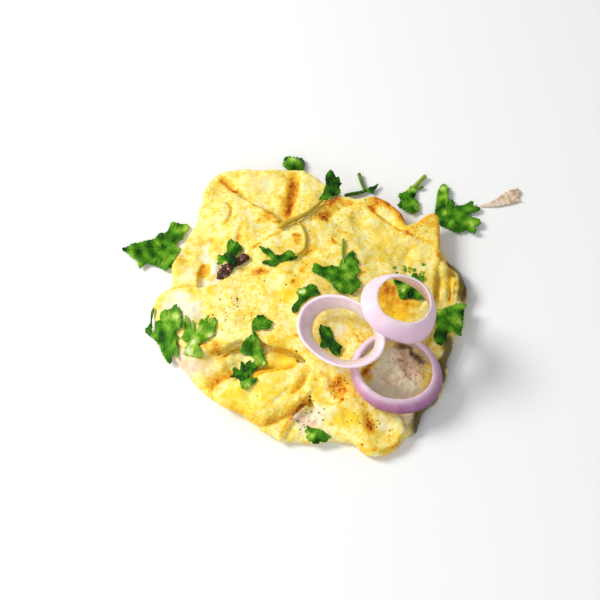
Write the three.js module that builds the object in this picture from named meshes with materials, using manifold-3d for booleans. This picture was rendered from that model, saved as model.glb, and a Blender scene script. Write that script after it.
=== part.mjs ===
// A soft omelette folded into a loose parcel, with three rings of red onion and coriander leaves.
// Millimetres, +Z up. It lies on the plane z = 0 with the middle of its flat underside at the
// origin: +X is its right side and +Y its back.

import * as THREE from "three";
import { mergeVertices } from "three/addons/utils/BufferGeometryUtils.js";
import Module from "manifold-3d";

const wasm = await Module();
wasm.setup();

// ---- Driving dimensions -------------------------------------------------------------------

const SHEET = 4.6; // thickness of the cooked egg at the edge of a fold
const GAP = 0.35; // clearance between pieces that touch
const LEAF = 0.8; // thickness of a coriander leaf
const STALK = 0.8; // radius of a coriander stalk
const CELL = 1; // side of one cell of the height map
const STIFFNESS = 4; // cells over which a leaf bridges the dips below it
const STEP = 0.2; // how finely a piece is raised until it lies free of what is below it

// The omelette is folded from overlapping sheets of egg. Each has a middle [x, y, height of its
// upper face] and an outline of [x, y, height of its upper face there], going round clockwise
// seen from above. `thick` is the thickness at its rim where that isn't SHEET.
const SHEETS = {
  base: {
    middle: [2, 4, 11],
    rounds: 56,
    thick: 20,
    outline: [
      [-53, -45.5, 6.4], [-65, -32, 7], [-73.5, -20, 7.4], [-79.5, -4, 7.6], [-79.5, 9, 8],
      [-72, 22, 7.6], [-66, 48, 7.2], [-59.5, 67, 7.4], [-54, 84, 8], [-44, 91.5, 8],
      [-26, 92, 8], [-6, 90.5, 8], [9, 81, 8], [22, 72, 8], [36, 71.5, 8], [47, 60, 8],
      [55, 50, 7.6], [65, 51, 7.4], [72, 46, 7.4], [77, 36, 8.6], [84, 27, 9], [86, 16.5, 8.6],
      [83.5, 6, 8], [79.5, -2, 7.6], [76.5, -14, 7.6], [73.5, -26, 7.6], [70, -40, 7.4],
      [65, -50, 7], [57.5, -56, 6.6], [54.5, -66, 5.6], [47, -68.5, 5.4], [36, -71, 5.6],
      [24, -71.5, 5.8], [11, -70.5, 6], [-2.5, -71.5, 5.6], [-13, -70, 5.4], [-25, -62.5, 5.4],
      [-37, -54.5, 5.6],
    ],
  },
  rear: {
    middle: [-26, 52, 13],
    rounds: 42,
    outline: [
      [-75, 18, 10.6], [-74.5, 31, 10.4], [-69.5, 44, 10.4], [-63.5, 60, 10.8], [-60, 76, 11],
      [-57.5, 87, 11.2], [-53, 92.7, 11], [-42.5, 95.2, 11.4], [-27, 94.6, 11.6],
      [-8, 94.8, 12.4], [2, 90.5, 11.6], [9, 85.5, 11.4], [20, 75.5, 11.4], [24, 54, 12.6],
      [10, 30, 13], [-10, 12, 13], [-34, 4, 12.4], [-56, 3, 11.4], [-71, 9, 10.6],
    ],
  },
  flap: {
    middle: [-33, 52, 17],
    rounds: 28,
    outline: [
      [-56, 44, 11.6], [-58, 58, 11.4], [-53, 70.5, 12.6], [-43, 74.5, 14], [-34.5, 70.8, 15.6],
      [-27, 66.4, 16.8], [-20.5, 63, 17.2], [-15.6, 57, 17], [-17, 46, 16],
      [-26, 36, 15], [-36, 29, 14], [-45, 25, 12.4], [-52, 33, 11.8],
    ],
  },
  pillow: {
    middle: [-62, 3, 14],
    rounds: 22,
    thick: 9,
    outline: [
      [-84, 5, 10.6], [-82.8, 11, 11.4], [-77.5, 15.2, 12.4], [-64, 15.8, 13.4],
      [-50, 15.6, 14.4], [-40, 8, 14], [-44, -8, 12.6], [-56, -16, 11.6], [-70, -17, 9.6],
      [-79.5, -9, 9.4], [-83.4, -1, 9.8],
    ],
  },
  centre: {
    middle: [-2, 16, 19.5],
    rounds: 68,
    outline: [
      [-76, 3, 10.6], [-68, 12, 12.6],
      [-50.5, 15, 15.6], [-43.5, 24, 16.4], [-37.5, 35, 17.6], [-26, 42.5, 18.4],
      [-15, 50, 18.8], [-4.5, 56.5, 18.6], [8, 69, 16.4], [20.5, 75, 13.6], [28, 73, 13.4],
      [36, 75.2, 13.6], [44, 72.4, 13], [51, 64.5, 12.4], [55, 54.5, 12.4], [61.5, 58.4, 13.4],
      [68.2, 62.8, 15], [72.8, 61, 14.2], [72.6, 47, 12.6], [72.4, 36, 12], [70, 24, 12.6],
      [66.5, 8, 12.8], [62, -10, 12.4], [53, -22, 12], [43, -29, 12.6], [31, -36, 14],
      [20, -42, 14.4], [9, -44, 15], [2, -37, 16], [-3.5, -29, 17.4], [-13, -23.6, 17.6],
      [-25, -20.6, 17], [-36, -18.6, 16.4], [-46, -22.5, 15], [-57, -24, 13.4],
      [-68, -19, 11], [-76, -8, 10],
    ],
  },
  frontLeft: {
    middle: [-18, -46, 14.6],
    rounds: 28,
    outline: [
      [-47.4, -50.5, 7], [-46, -46, 8], [-43.5, -42, 9.6], [-38, -39, 11.8], [-30.5, -36.6, 13.4],
      [-21, -34.6, 14.8], [-12, -32.8, 16], [-4, -31, 17], [3, -36.6, 17], [3, -45.4, 15.4],
      [-1.6, -51, 13.6], [-10, -56, 10.8], [-19, -60.8, 8.2], [-26.6, -63.6, 6.4],
      [-36, -57, 6.6],
    ],
  },
  front: {
    middle: [22, -52, 14],
    rounds: 28,
    outline: [
      [11, -63, 8.4], [4, -57, 10.4], [0.4, -51, 13], [-0.6, -41, 16], [5, -31, 17],
      [18, -30, 16.4], [32, -35, 14.6], [42, -45, 11.4], [45, -55, 9.4], [48, -62, 8],
      [48.6, -67, 7.2], [46, -71.5, 6.8], [41, -75.5, 6.6], [33, -78, 6.4], [25.5, -76, 6.6],
      [20.5, -72, 6.8], [15.5, -67.4, 7.4],
    ],
  },
  wedge: {
    middle: [-13, -60.5, 8],
    rounds: 18,
    outline: [
      [-20, -60, 6.8], [-12.5, -55, 9.6], [-4, -50, 11.4], [0, -52, 11], [-3.6, -56.5, 9.4],
      [-8, -61.5, 7.6], [-11, -66.5, 6], [-13.6, -70.8, 5], [-19.5, -68.2, 5],
      [-26, -64.4, 5.2],
    ],
  },
};

// Folds that stand out of the upper face, and creases cut into it: the route each takes, half
// its width, and how far it rises or sinks at its middle.
const FOLDS = [
  { route: [[-17, 91], [-17.5, 78], [-18, 64]], width: 5, rise: 1.2 }, // left of the valley
  { route: [[-3.5, 89], [-4, 78], [-5, 66]], width: 4.5, rise: 1.3 }, // right of the valley
  { route: [[-53, 82], [-46, 78], [-38, 72]], width: 3.4, rise: 1.2 }, // corner pleat
  { route: [[-51.2, 40], [-51, 30], [-52, 19]], width: 3.2, rise: 2.4 }, // beside the mouth
  { route: [[-64, 22], [-62, 36], [-58, 48]], width: 4, rise: 1.2 }, // left edge
  { route: [[-2, -46], [-12, -53], [-25, -60.5]], width: 3.2, rise: 1.9 }, // front roll
  { route: [[-66, -23], [-56, -27], [-44, -29]], width: 7, rise: 2.6 }, // front left
  { route: [[74.5, 33], [74.5, 20], [73, 5]], width: 3.2, rise: 2.8 }, // first on the right
  { route: [[80.5, 29], [81, 18], [79.5, 7]], width: 2.8, rise: 2.2 }, // second on the right
];
const CREASES = [
  { route: [[-10, 93], [-10.4, 78], [-12.5, 60]], width: 3.4, sink: 3.6 }, // back valley
  { route: [[-50, 86], [-44, 79], [-38, 75]], width: 2.2, sink: 2.2 }, // corner pleat
  { route: [[-46, 68.5], [-43.2, 62.5], [-47, 56]], width: 1.4, sink: 1.6 }, // curl
  { route: [[-56.6, 31.5], [-57, 25], [-57.2, 17]], width: 2.8, sink: 3.4 }, // mouth
  { route: [[-74, 5], [-62, 6.5], [-50, 6]], width: 3, sink: 1 }, // seam of the pillow
  { route: [[39, 66.5], [46.5, 59.5], [53, 52]], width: 1.8, sink: 1.2 }, // rear lobe
  { route: [[59, 47], [64, 44], [70, 42]], width: 1.8, sink: 1 }, // root of the tip
  { route: [[-0.5, -37], [-4.5, -43], [-9.5, -49]], width: 1.9, sink: 2.6 }, // short, in front
  { route: [[-4, -34], [8, -38], [13, -46]], width: 1.8, sink: 0.9 }, // below the left ring
];

// The onion rings, in the order they were dropped: the middle of the foot, how far the top's
// middle leans from there, the outer radius at the foot and at the top, the wall at the foot and
// at the top, the height, the depth as a share of the width, the turn of the long axis, and how
// many degrees the foot and the top slope down to the right and up to the back.
const RINGS = {
  onion_ring_front: {
    middle: [45.2, -38.2], lean: [-1.6, -0.1], radii: [23.4, 21.6], walls: [3.8, 3.7],
    height: 10.6, narrow: 0.89, spin: 7, slopes: { foot: [10, 7], top: [10, 7] },
  },
  onion_ring_left: {
    middle: [17.3, -20.9], lean: [-1.9, -1.5], radii: [19.8, 25.8], walls: [2.8, 3],
    height: 7.3, narrow: 0.72, spin: -43, slopes: { foot: [-12, 0], top: [-12, 0] },
  },
  onion_ring_right: {
    middle: [44.7, -12.2], lean: [2.6, 0.3], radii: [19.8, 14.9], walls: [3, 2.2],
    height: 11, narrow: 0.96, spin: 0, slopes: { foot: [24, 0], top: [8, 0] },
  },
};

// The sprigs of coriander, in the order they were dropped. A leaf opens from `at` with one
// toothed lobe to each of `tips`, which go round counterclockwise; `cut` is how far out the
// cuts between lobes end, as a share of a lobe, and `flank` how wide the outer lobes are, in
// degrees. A stalk follows its route. On the table they lie beside the omelette.
const SPRIGS = {
  coriander_left: {
    leaves: [
      { at: [-69.5, 47], cut: 0.8, flank: 10, onTable: true, level: 0.5, wave: 1.4,
        tips: [[-70.5, 60], [-78, 62.5], [-89, 56], [-103, 45], [-92, 33.5], [-78, 31.5],
          [-75, 34.5]] },
    ],
  },
  coriander_back: {
    leaves: [
      { at: [-8, 98.6], cut: 0.8, flank: 22, onTable: true, level: 0.8, wave: 0.6, curl: 5,
        tips: [[-2.5, 102], [-3.5, 108.5], [-12, 109.5], [-15, 104]] },
    ],
  },
  coriander_stalks: {
    leaves: [
      { at: [31, 86], cut: 0.4, flank: 16, onTable: true, wave: 0.6,
        tips: [[38, 83.5], [41, 90.5]] },
    ],
    stalks: [
      { route: [[20.5, 81.5], [26, 84], [32, 86.4]], onTable: true, radius: 1 },
      { route: [[31.5, 86], [29.5, 92], [29, 99.5]], onTable: true, radius: 0.9 },
    ],
  },
  coriander_back_right: {
    leaves: [
      { at: [60.5, 88], cut: 0.8, flank: 18, onTable: true, wave: 1.4,
        tips: [[52, 84], [49.5, 76.5], [56.5, 69], [62, 70.5], [64.5, 77]] },
    ],
    stalks: [{ route: [[60.5, 87.5], [64, 93], [68.5, 98]], onTable: true, radius: 1 }],
  },
  coriander_far_right: {
    leaves: [
      { at: [71.5, 69], cut: 0.72, flank: 8, onTable: true, wave: 1.4,
        tips: [[76, 60.5], [83, 56], [92, 54.5], [97.5, 62], [98, 75], [84, 78], [78.5, 91]] },
    ],
  },
  pale_sliver: {
    leaves: [
      { at: [98.8, 76.2], cut: 0.92, flank: 5, onTable: true, wave: 0.4,
        tips: [[121, 80.5], [120.5, 88]] },
    ],
  },
  coriander_corner: {
    leaves: [
      { at: [-37.5, 27.5], cut: 0.7, flank: 26, level: 17.5, wave: 0.6,
        tips: [[-36, 37], [-42.8, 42], [-48.8, 31]] },
    ],
  },
  coriander_middle: {
    leaves: [
      { at: [18, 30], cut: 0.82, flank: 12, wave: 0.8,
        tips: [[1.5, 23.5], [7, 16.5], [16, 7.5], [25.5, 14.5], [25.5, 24], [24, 34]] },
    ],
    stalks: [{ route: [[18, 29], [18.2, 36], [18.6, 44]] }],
  },
  coriander_by_ring: {
    leaves: [
      { at: [2, 1], cut: 0.84, flank: 20, wave: 0.2,
        tips: [[6, 8], [0, 11.5], [-5.5, 6], [-9, -1]] },
    ],
  },
  coriander_under_ring: {
    leaves: [
      { at: [57, 17], cut: 0.8, flank: 24, wave: 0.5,
        tips: [[46, 20.5], [46, 12], [50.5, 6.5], [60, 5.5], [66, 9], [67, 19]] },
    ],
  },
  coriander_in_ring: {
    leaves: [
      { at: [7, -10.6], cut: 0.78, flank: 20, wave: 0.3,
        tips: [[6.5, -19], [13.5, -28], [17, -22], [13, -13]] },
    ],
  },
  coriander_right: {
    leaves: [
      { at: [66, -8], cut: 0.74, flank: 16, level: 7.5, wave: 1,
        tips: [[68, -16], [81.5, -12], [82.5, -2], [84, 8], [69, 4.5]] },
    ],
  },
  coriander_left_edge: {
    leaves: [
      { at: [-70, -9], cut: 0.8, flank: 18, level: 2.5, wave: 0.8,
        tips: [[-71.5, 3], [-83.5, 4], [-87.8, -6], [-79.5, -17], [-72.5, -26.5], [-67, -22]] },
    ],
  },
  coriander_pale: {
    leaves: [
      { at: [-60, -16.6], cut: 0.5, flank: 20, wave: 0.6,
        tips: [[-48.2, -9.6], [-53.4, -4.6], [-64.8, -4.6], [-66.2, -15.6], [-65, -26],
          [-57.5, -28.8]] },
    ],
  },
  coriander_chain: {
    leaves: [
      { at: [-30.1, -13], cut: 0.8, flank: 24, wave: 0.4,
        tips: [[-19, -9], [-24.5, -4.6], [-31, -8]] },
      { at: [-29, -16.5], cut: 0.75, flank: 18, wave: 0.6,
        tips: [[-36, -21.2], [-27, -31], [-22.8, -25]] },
      { at: [-29, -30], cut: 0.7, flank: 26, wave: 0.6,
        tips: [[-36.2, -27.6], [-40.8, -35], [-33.2, -44.4], [-26.6, -40]] },
    ],
    stalks: [{ route: [[-30.1, -12.4], [-29.4, -17], [-27, -24], [-29, -30.6]], radius: 0.7 }],
  },
  coriander_front: {
    leaves: [
      { at: [10.5, -69.5], cut: 0.8, flank: 14, level: 4.5, wave: 0.3,
        tips: [[2.5, -65.6], [-3, -64.2], [-2.6, -69.5], [2, -73.4]] },
    ],
  },
  coriander_sprig: {
    leaves: [
      { at: [7.6, 69.5], cut: 0.84, flank: 20, level: 14.5, wave: 0.6,
        tips: [[17.5, 74.5], [19, 82], [13, 91.5], [8, 82]] },
      { at: [-7.4, 30.4], cut: 0.42, flank: 14, wave: 0.3,
        tips: [[-12.5, 34.6], [-26.4, 37.4], [-25.2, 26.4]] },
    ],
    stalks: [
      { route: [[-16.5, 48.5], [-11, 52.5], [-5, 57.5], [1.5, 62.5], [8, 70.5]] },
      { route: [[-7.6, 55.4], [-2.8, 47.5], [-2, 38], [-7.8, 30]] },
    ],
  },
};

// The scorched scrap of onion in the crook of the folds.
const SCORCHED = { route: [[-49.5, 17.5], [-42, 25.5], [-32, 32]], width: 2.8, height: 2 };

// ---- Shared geometry ----------------------------------------------------------------------

const mix = (a, b, t) => a + (b - a) * t;
const radians = THREE.MathUtils.degToRad;

function closedGeometry(positions, faces) {
  const geometry = new THREE.BufferGeometry();
  geometry.setAttribute("position", new THREE.Float32BufferAttribute(positions.flat(), 3));
  geometry.setIndex(faces.flat());
  return geometry;
}

function toSolid(geometry) {
  const bare = geometry.clone();
  bare.deleteAttribute("normal");
  bare.deleteAttribute("uv");
  const merged = mergeVertices(bare, 1e-4);
  return new wasm.Manifold(
    new wasm.Mesh({
      numProp: 3,
      vertProperties: merged.attributes.position.array,
      triVerts: new Uint32Array(merged.index.array),
    }),
  );
}

function fromSolid(solid) {
  const mesh = solid.getMesh();
  const geometry = new THREE.BufferGeometry();
  geometry.setAttribute("position", new THREE.Float32BufferAttribute(mesh.vertProperties, 3));
  geometry.setIndex([...mesh.triVerts]);
  geometry.computeVertexNormals();
  return geometry;
}

const union = (solids) => solids.reduce((whole, next) => whole.add(next));

// The same solid with the air pockets shut in between its parts filled.
const withoutPockets = (solid) => union(solid.decompose().filter((skin) => skin.volume() > 0));

const joined = (geometries) => withoutPockets(union(geometries.map(toSolid)));

// A closed skin through rings of points, all with the same count, with a pole at each end.
function loft(firstPole, rings, lastPole) {
  const count = rings[0].length;
  const positions = [firstPole, ...rings.flat(), lastPole];
  const at = (ring, i) => 1 + ring * count + (i % count);
  const last = positions.length - 1;
  const faces = [];
  for (let i = 0; i < count; i++) {
    faces.push([0, at(0, i), at(0, i + 1)]);
    for (let ring = 0; ring + 1 < rings.length; ring++) {
      const [a, b, c, d] = [at(ring, i), at(ring, i + 1), at(ring + 1, i), at(ring + 1, i + 1)];
      faces.push([a, c, b], [b, c, d]);
    }
    faces.push([last, at(rings.length - 1, i + 1), at(rings.length - 1, i)]);
  }
  return closedGeometry(positions, faces);
}

// ---- The height of what already lies there ------------------------------------------------

// A map of the highest surface over each cell, to lay leaves and rings on.
class HeightMap {
  constructor(lowX, lowY, highX, highY) {
    this.low = [lowX, lowY];
    this.size = [Math.ceil((highX - lowX) / CELL) + 1, Math.ceil((highY - lowY) / CELL) + 1];
    this.z = new Float64Array(this.size[0] * this.size[1]);
  }

  index(i, j) {
    const [w, h] = this.size;
    return Math.min(h - 1, Math.max(0, j)) * w + Math.min(w - 1, Math.max(0, i));
  }

  cell(x, y) {
    return [Math.round((x - this.low[0]) / CELL), Math.round((y - this.low[1]) / CELL)];
  }

  // Raises the map under every triangle of the geometry.
  add(geometry) {
    const p = geometry.toNonIndexed().attributes.position.array;
    for (let t = 0; t < p.length; t += 9) {
      const [ax, ay, az, bx, by, bz, cx, cy, cz] = p.slice(t, t + 9);
      const area = (bx - ax) * (cy - ay) - (cx - ax) * (by - ay);
      if (Math.abs(area) < 1e-9) continue;
      const [i0, j0] = this.cell(Math.min(ax, bx, cx), Math.min(ay, by, cy));
      const [i1, j1] = this.cell(Math.max(ax, bx, cx), Math.max(ay, by, cy));
      for (let j = j0; j <= j1; j++) {
        for (let i = i0; i <= i1; i++) {
          const x = this.low[0] + i * CELL;
          const y = this.low[1] + j * CELL;
          const u = ((x - ax) * (cy - ay) - (cx - ax) * (y - ay)) / area;
          const v = ((bx - ax) * (y - ay) - (x - ax) * (by - ay)) / area;
          if (u < 0 || v < 0 || u + v > 1) continue;
          const k = this.index(i, j);
          this.z[k] = Math.max(this.z[k], az + u * (bz - az) + v * (cz - az));
        }
      }
    }
  }

  // What `fold` makes of the heights within `reach` cells of (x, y), starting from zero.
  gather(x, y, reach, fold) {
    const [i, j] = this.cell(x, y);
    let result = 0;
    for (let dj = -reach; dj <= reach; dj++) {
      for (let di = -reach; di <= reach; di++) {
        result = fold(result, this.z[this.index(i + di, j + dj)]);
      }
    }
    return result;
  }

  top(x, y) {
    return this.gather(x, y, 1, Math.max);
  }

  // The mean height round (x, y), which a leaf too stiff to fill a dip follows.
  bridge(x, y) {
    return this.gather(x, y, STIFFNESS, (sum, z) => sum + z) / (2 * STIFFNESS + 1) ** 2;
  }
}

// ---- The egg ------------------------------------------------------------------------------

// Low relief of soft egg: crossing swells, about a millimetre in all.
function swell(x, y) {
  return 0.5 * Math.sin(x / 9 + 1.3) * Math.cos(y / 10 - 0.4) + 0.4 * Math.sin((x + y) / 8 + 0.7);
}

// The height of a sheet's upper face: a mean of the heights given for its outline and middle,
// nearer points counting for more.
function faceHeight({ middle, outline }, x, y) {
  const share = ([px, py], weight) => weight * ((x - px) ** 2 + (y - py) ** 2 + 64) ** -1.5;
  let total = share(middle, 6);
  let sum = total * middle[2];
  for (const point of outline) {
    total += share(point, 1);
    sum += share(point, 1) * point[2];
  }
  return sum / total;
}

// A sheet of egg, with a half-round rim. Its under face dips from the rim towards the table, so
// that a folded edge keeps a dark line below it. No part goes below the table.
function eggSheet(sheet) {
  const { middle, outline, rounds, thick = SHEET } = sheet;
  const [mx, my] = middle;
  const curve = new THREE.CatmullRomCurve3(
    outline.map((p) => new THREE.Vector3(...p)), true, "catmullrom", 0.5,
  );
  const edge = curve.getSpacedPoints(rounds).slice(0, rounds);
  const steps = 6;
  const rimAngles = [90, 30, -30, -90].map(radians);

  const height = (x, y) => faceHeight(sheet, x, y) + swell(x, y);

  const reachOf = (e) => Math.hypot(e.x - mx, e.y - my);
  const evenReach = edge.reduce((sum, e) => sum + reachOf(e), 0) / rounds;

  const spokes = edge.map((e) => {
    const reach = reachOf(e);
    const crest = height(e.x, e.y);
    const radius = Math.min(thick, crest) / 2;
    const inner = reach - radius; // where the flat of the sheet ends and its rim begins
    const point = (r, z) => [mix(mx, e.x, r / reach), mix(my, e.y, r / reach), z];
    const spoke = [];
    for (let k = 1; k < steps; k++) {
      // near the middle the rings are round, further out they follow the outline
      const r = (k / steps) * mix(evenReach, inner, Math.sqrt(k / steps));
      const [x, y] = point(r, 0);
      spoke.push([x, y, height(x, y)]);
    }
    for (const a of rimAngles) {
      spoke.push(point(inner + radius * Math.cos(a), crest - radius + radius * Math.sin(a)));
    }
    const foot = crest - 2 * radius;
    spoke.push(point(Math.max(inner - 7, inner / 2), Math.max(0, foot - 5)));
    return spoke;
  });
  const rings = spokes[0].map((_, k) => spokes.map((spoke) => spoke[k]).reverse());
  const floor = Math.min(...rings.at(-1).map((p) => p[2]));
  return loft([mx, my, height(mx, my)], rings, [mx, my, floor]);
}

// A ball drawn out along a route over the map, `width` to each side, `height` up and down, and
// its middle `offset` above the surface.
function spindle(map, route, width, height, offset) {
  const curve = new THREE.CatmullRomCurve3(
    route.map(([x, y]) => new THREE.Vector3(x, y, map.bridge(x, y) + offset)),
  );
  const geometry = new THREE.SphereGeometry(1, 8, 8);
  const position = geometry.attributes.position;
  for (let i = 0; i < position.count; i++) {
    const [across, along, up] = [position.getX(i), position.getY(i), position.getZ(i)];
    const t = (1 + along) / 2;
    const at = curve.getPoint(t);
    const { x, y } = curve.getTangent(t);
    const side = (across * width) / Math.hypot(x, y);
    position.setXYZ(i, at.x + y * side, at.y - x * side, at.z + up * height);
  }
  return toSolid(geometry);
}

function omeletteSolid() {
  let egg = joined(Object.values(SHEETS).map(eggSheet));
  const surface = new HeightMap(-115, -95, 135, 120);
  surface.add(fromSolid(egg));
  for (const { route, width, rise } of FOLDS) {
    egg = egg.add(spindle(surface, route, width, 3, rise - 3));
  }
  for (const { route, width, sink } of CREASES) {
    egg = egg.subtract(spindle(surface, route, width, sink, 0));
  }
  return withoutPockets(egg);
}

// ---- The onion ----------------------------------------------------------------------------

// A band with six corners in its section, carried round an oval. Its foot and its top are flat
// cuts, each with a slope of its own.
function onionRing({ middle, lean, radii, walls, height, narrow, spin, slopes }) {
  const around = 36;
  const section = [[0, 0], [0, 0.5], [0, 1], [1, 1], [1, 0.5], [1, 0]]; // inner side, share up
  const [c, s] = [Math.cos(radians(spin)), Math.sin(radians(spin))];
  const corner = (angle, [within, t]) => {
    const radius = mix(...radii, t) + 1.2 * (4 * t * (1 - t)) - within * mix(...walls, t);
    const [u, v] = [radius * Math.cos(angle), radius * narrow * Math.sin(angle)];
    const [x, y] = [u * c - v * s, u * s + v * c];
    const slope = (k) => Math.tan(radians(mix(slopes.foot[k], slopes.top[k], t)));
    return [
      middle[0] + x + lean[0] * t, middle[1] + y + lean[1] * t,
      6 + t * height - x * slope(0) + y * slope(1),
    ];
  };
  const positions = [];
  const faces = [];
  const count = section.length;
  for (let i = 0; i < around; i++) {
    const angle = (2 * Math.PI * i) / around;
    positions.push(...section.map((place) => corner(angle, place)));
    for (let k = 0; k < count; k++) {
      const next = (i + 1) % around;
      const [a, b] = [i * count + k, next * count + k];
      const [d, e] = [i * count + ((k + 1) % count), next * count + ((k + 1) % count)];
      faces.push([a, b, d], [b, e, d]);
    }
  }
  return toSolid(closedGeometry(positions, faces));
}

// ---- Coriander ----------------------------------------------------------------------------

// The height a leaf or stalk takes at (x, y): over what lies there, `level` above the table at
// least, or on the table beside the omelette.
function restHeight(map, x, y, { level = 0, onTable = false }) {
  if (onTable) return GAP + level;
  return Math.max(map.top(x, y) + GAP, map.bridge(x, y) + GAP + 0.3, level);
}

// Half of a lobe's outline from its tip to a cut, as [place across it, share of its reach].
const LOBE = [[-1, 0], [-0.5, 0.86], [0, 1], [0.5, 0.86]];

// The outline of a leaf round its stalk's end, as [angle, reach]: one toothed lobe to each tip,
// with a cut between neighbours.
function leafOutline({ at, tips, cut, flank }) {
  const lobes = tips.map(([x, y]) => ({
    angle: Math.atan2(y - at[1], x - at[0]),
    reach: Math.hypot(x - at[0], y - at[1]),
  }));
  lobes.slice(1).forEach((lobe, i) => {
    while (lobe.angle < lobes[i].angle) lobe.angle += 2 * Math.PI;
  });
  const between = (a, b) => ({
    angle: (a.angle + b.angle) / 2,
    reach: cut * Math.min(a.reach, b.reach),
  });
  const outermost = (lobe, turn) => ({
    angle: lobe.angle + radians(turn),
    reach: 0.35 * lobe.reach,
  });
  const cuts = [
    outermost(lobes[0], -flank),
    ...lobes.slice(1).map((lobe, i) => between(lobes[i], lobe)),
    outermost(lobes.at(-1), flank),
  ];
  const outline = lobes.flatMap((lobe, i) =>
    LOBE.map(([across, share]) => {
      const end = across < 0 ? cuts[i] : cuts[i + 1];
      return [mix(lobe.angle, end.angle, Math.abs(across)), mix(end.reach, lobe.reach, share)];
    }),
  );
  return [...outline, [cuts.at(-1).angle, cuts.at(-1).reach]];
}

// A thin wavy leaf that opens from its stalk's end, both faces split alike.
function leafBlade(map, leaf) {
  const { at, rows = 2, wave, curl = 0 } = leaf;
  const outline = leafOutline(leaf);
  const longest = Math.max(...outline.map(([, reach]) => reach));
  const first = outline[0][0];
  const span = outline.at(-1)[0] - first;
  const place = ([angle, reach], share) => {
    const r = share * reach;
    const x = at[0] + r * Math.cos(angle);
    const y = at[1] + r * Math.sin(angle);
    const across = (2 * (angle - first)) / span - 1;
    const ripple = wave * share * (1 + Math.sin(5 * angle + at[0]));
    return [x, y, restHeight(map, x, y, leaf) + ripple + curl * across ** 2 * (r / longest)];
  };
  const face = [place([0, 0], 0)];
  for (let k = 1; k <= rows; k++) face.push(...outline.map((p) => place(p, (k / rows) ** 0.8)));
  const positions = [...face, ...face.map(([x, y, z]) => [x, y, z + LEAF])];
  const width = outline.length;
  const id = (k, i) => 1 + (k - 1) * width + i;
  const faces = [];
  const bothFaces = (a, b, c) =>
    faces.push([a + face.length, b + face.length, c + face.length], [a, c, b]);
  for (let i = 0; i + 1 < width; i++) {
    bothFaces(0, id(1, i), id(1, i + 1));
    for (let k = 1; k < rows; k++) {
      bothFaces(id(k, i), id(k + 1, i), id(k + 1, i + 1));
      bothFaces(id(k, i), id(k + 1, i + 1), id(k, i + 1));
    }
  }
  const border = [0];
  for (let k = 1; k < rows; k++) border.push(id(k, 0));
  for (let i = 0; i < width; i++) border.push(id(rows, i));
  for (let k = rows - 1; k >= 1; k--) border.push(id(k, width - 1));
  border.forEach((a, i) => {
    const b = border[(i + 1) % border.length];
    faces.push([a, b, b + face.length], [a, b + face.length, a + face.length]);
  });
  return closedGeometry(positions, faces);
}

// A round stalk through points [x, y], laid on what is under it.
function stalk(map, { route, radius = STALK, ...rest }) {
  const plan = new THREE.CatmullRomCurve3(route.map(([x, y]) => new THREE.Vector3(x, y, 0)));
  const steps = Math.max(3, Math.round(plan.getLength() / 4.5));
  const points = plan.getSpacedPoints(steps).map(({ x, y }) => {
    return new THREE.Vector3(x, y, restHeight(map, x, y, rest) + radius);
  });
  const corners = Array.from({ length: 4 }, (_, i) => {
    const a = (Math.PI * i) / 2;
    return new THREE.Vector2(radius * Math.cos(a), radius * Math.sin(a));
  });
  return new THREE.ExtrudeGeometry(new THREE.Shape(corners), {
    steps,
    extrudePath: new THREE.CatmullRomCurve3(points),
  });
}

// ---- The whole ----------------------------------------------------------------------------

const root = new THREE.Group();
const map = new HeightMap(-115, -95, 135, 120);
let laid = null; // everything laid so far, as one solid

// Adds a piece as it stands, and lets what comes later lie on it.
function addPiece(name, solid, material) {
  const geometry = fromSolid(solid);
  const mesh = new THREE.Mesh(geometry, material);
  mesh.name = name;
  root.add(mesh);
  map.add(geometry);
  laid = laid ? laid.add(solid) : solid;
}

// Raises a piece until it lies free of everything below it, and a little further.
function settled(solid, clearance = 0) {
  let lifted = solid;
  while (lifted.intersect(laid).volume() > 0) lifted = lifted.translate([0, 0, STEP]);
  return lifted.translate([0, 0, clearance]);
}

const look = (color, roughness) => new THREE.MeshStandardMaterial({ color, roughness, metalness: 0 });
const EGG = look(0xf3cf62, 0.5);
const GREEN = look(0x2f8a2c, 0.5);
const PALE = look(0xd9b08c, 0.6);
const SCORCH = look(0x4a1f18, 0.6);
const ONION = look(0xd8c3dc, 0.35);

addPiece("omelette", omeletteSolid(), EGG);
addPiece("scorched_onion",
  settled(spindle(map, SCORCHED.route, SCORCHED.width, SCORCHED.height, 1), GAP), SCORCH);
for (const [name, { leaves, stalks = [] }] of Object.entries(SPRIGS)) {
  const parts = [
    ...leaves.map((leaf) => leafBlade(map, leaf)),
    ...stalks.map((one) => stalk(map, one)),
  ];
  addPiece(name, settled(joined(parts)), name === "pale_sliver" ? PALE : GREEN);
}
for (const [name, ring] of Object.entries(RINGS)) {
  addPiece(name, settled(onionRing(ring), GAP), ONION);
}

export default root;
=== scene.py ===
# %% [markdown]
# # A folded omelette with onion rings and coriander
#
# The omelette is soft egg, cooked thin and folded over itself into a loose parcel. Three rings of
# red onion lie stacked on its right side, and coriander leaves lie over and beside it.
#
# Everything here is a surface worked out with numpy, dressed with procedural materials. The packed
# CAD model is the frame: each large piece below stands for one of its solids, and stays there.

# %% Load the frame
import math

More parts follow.
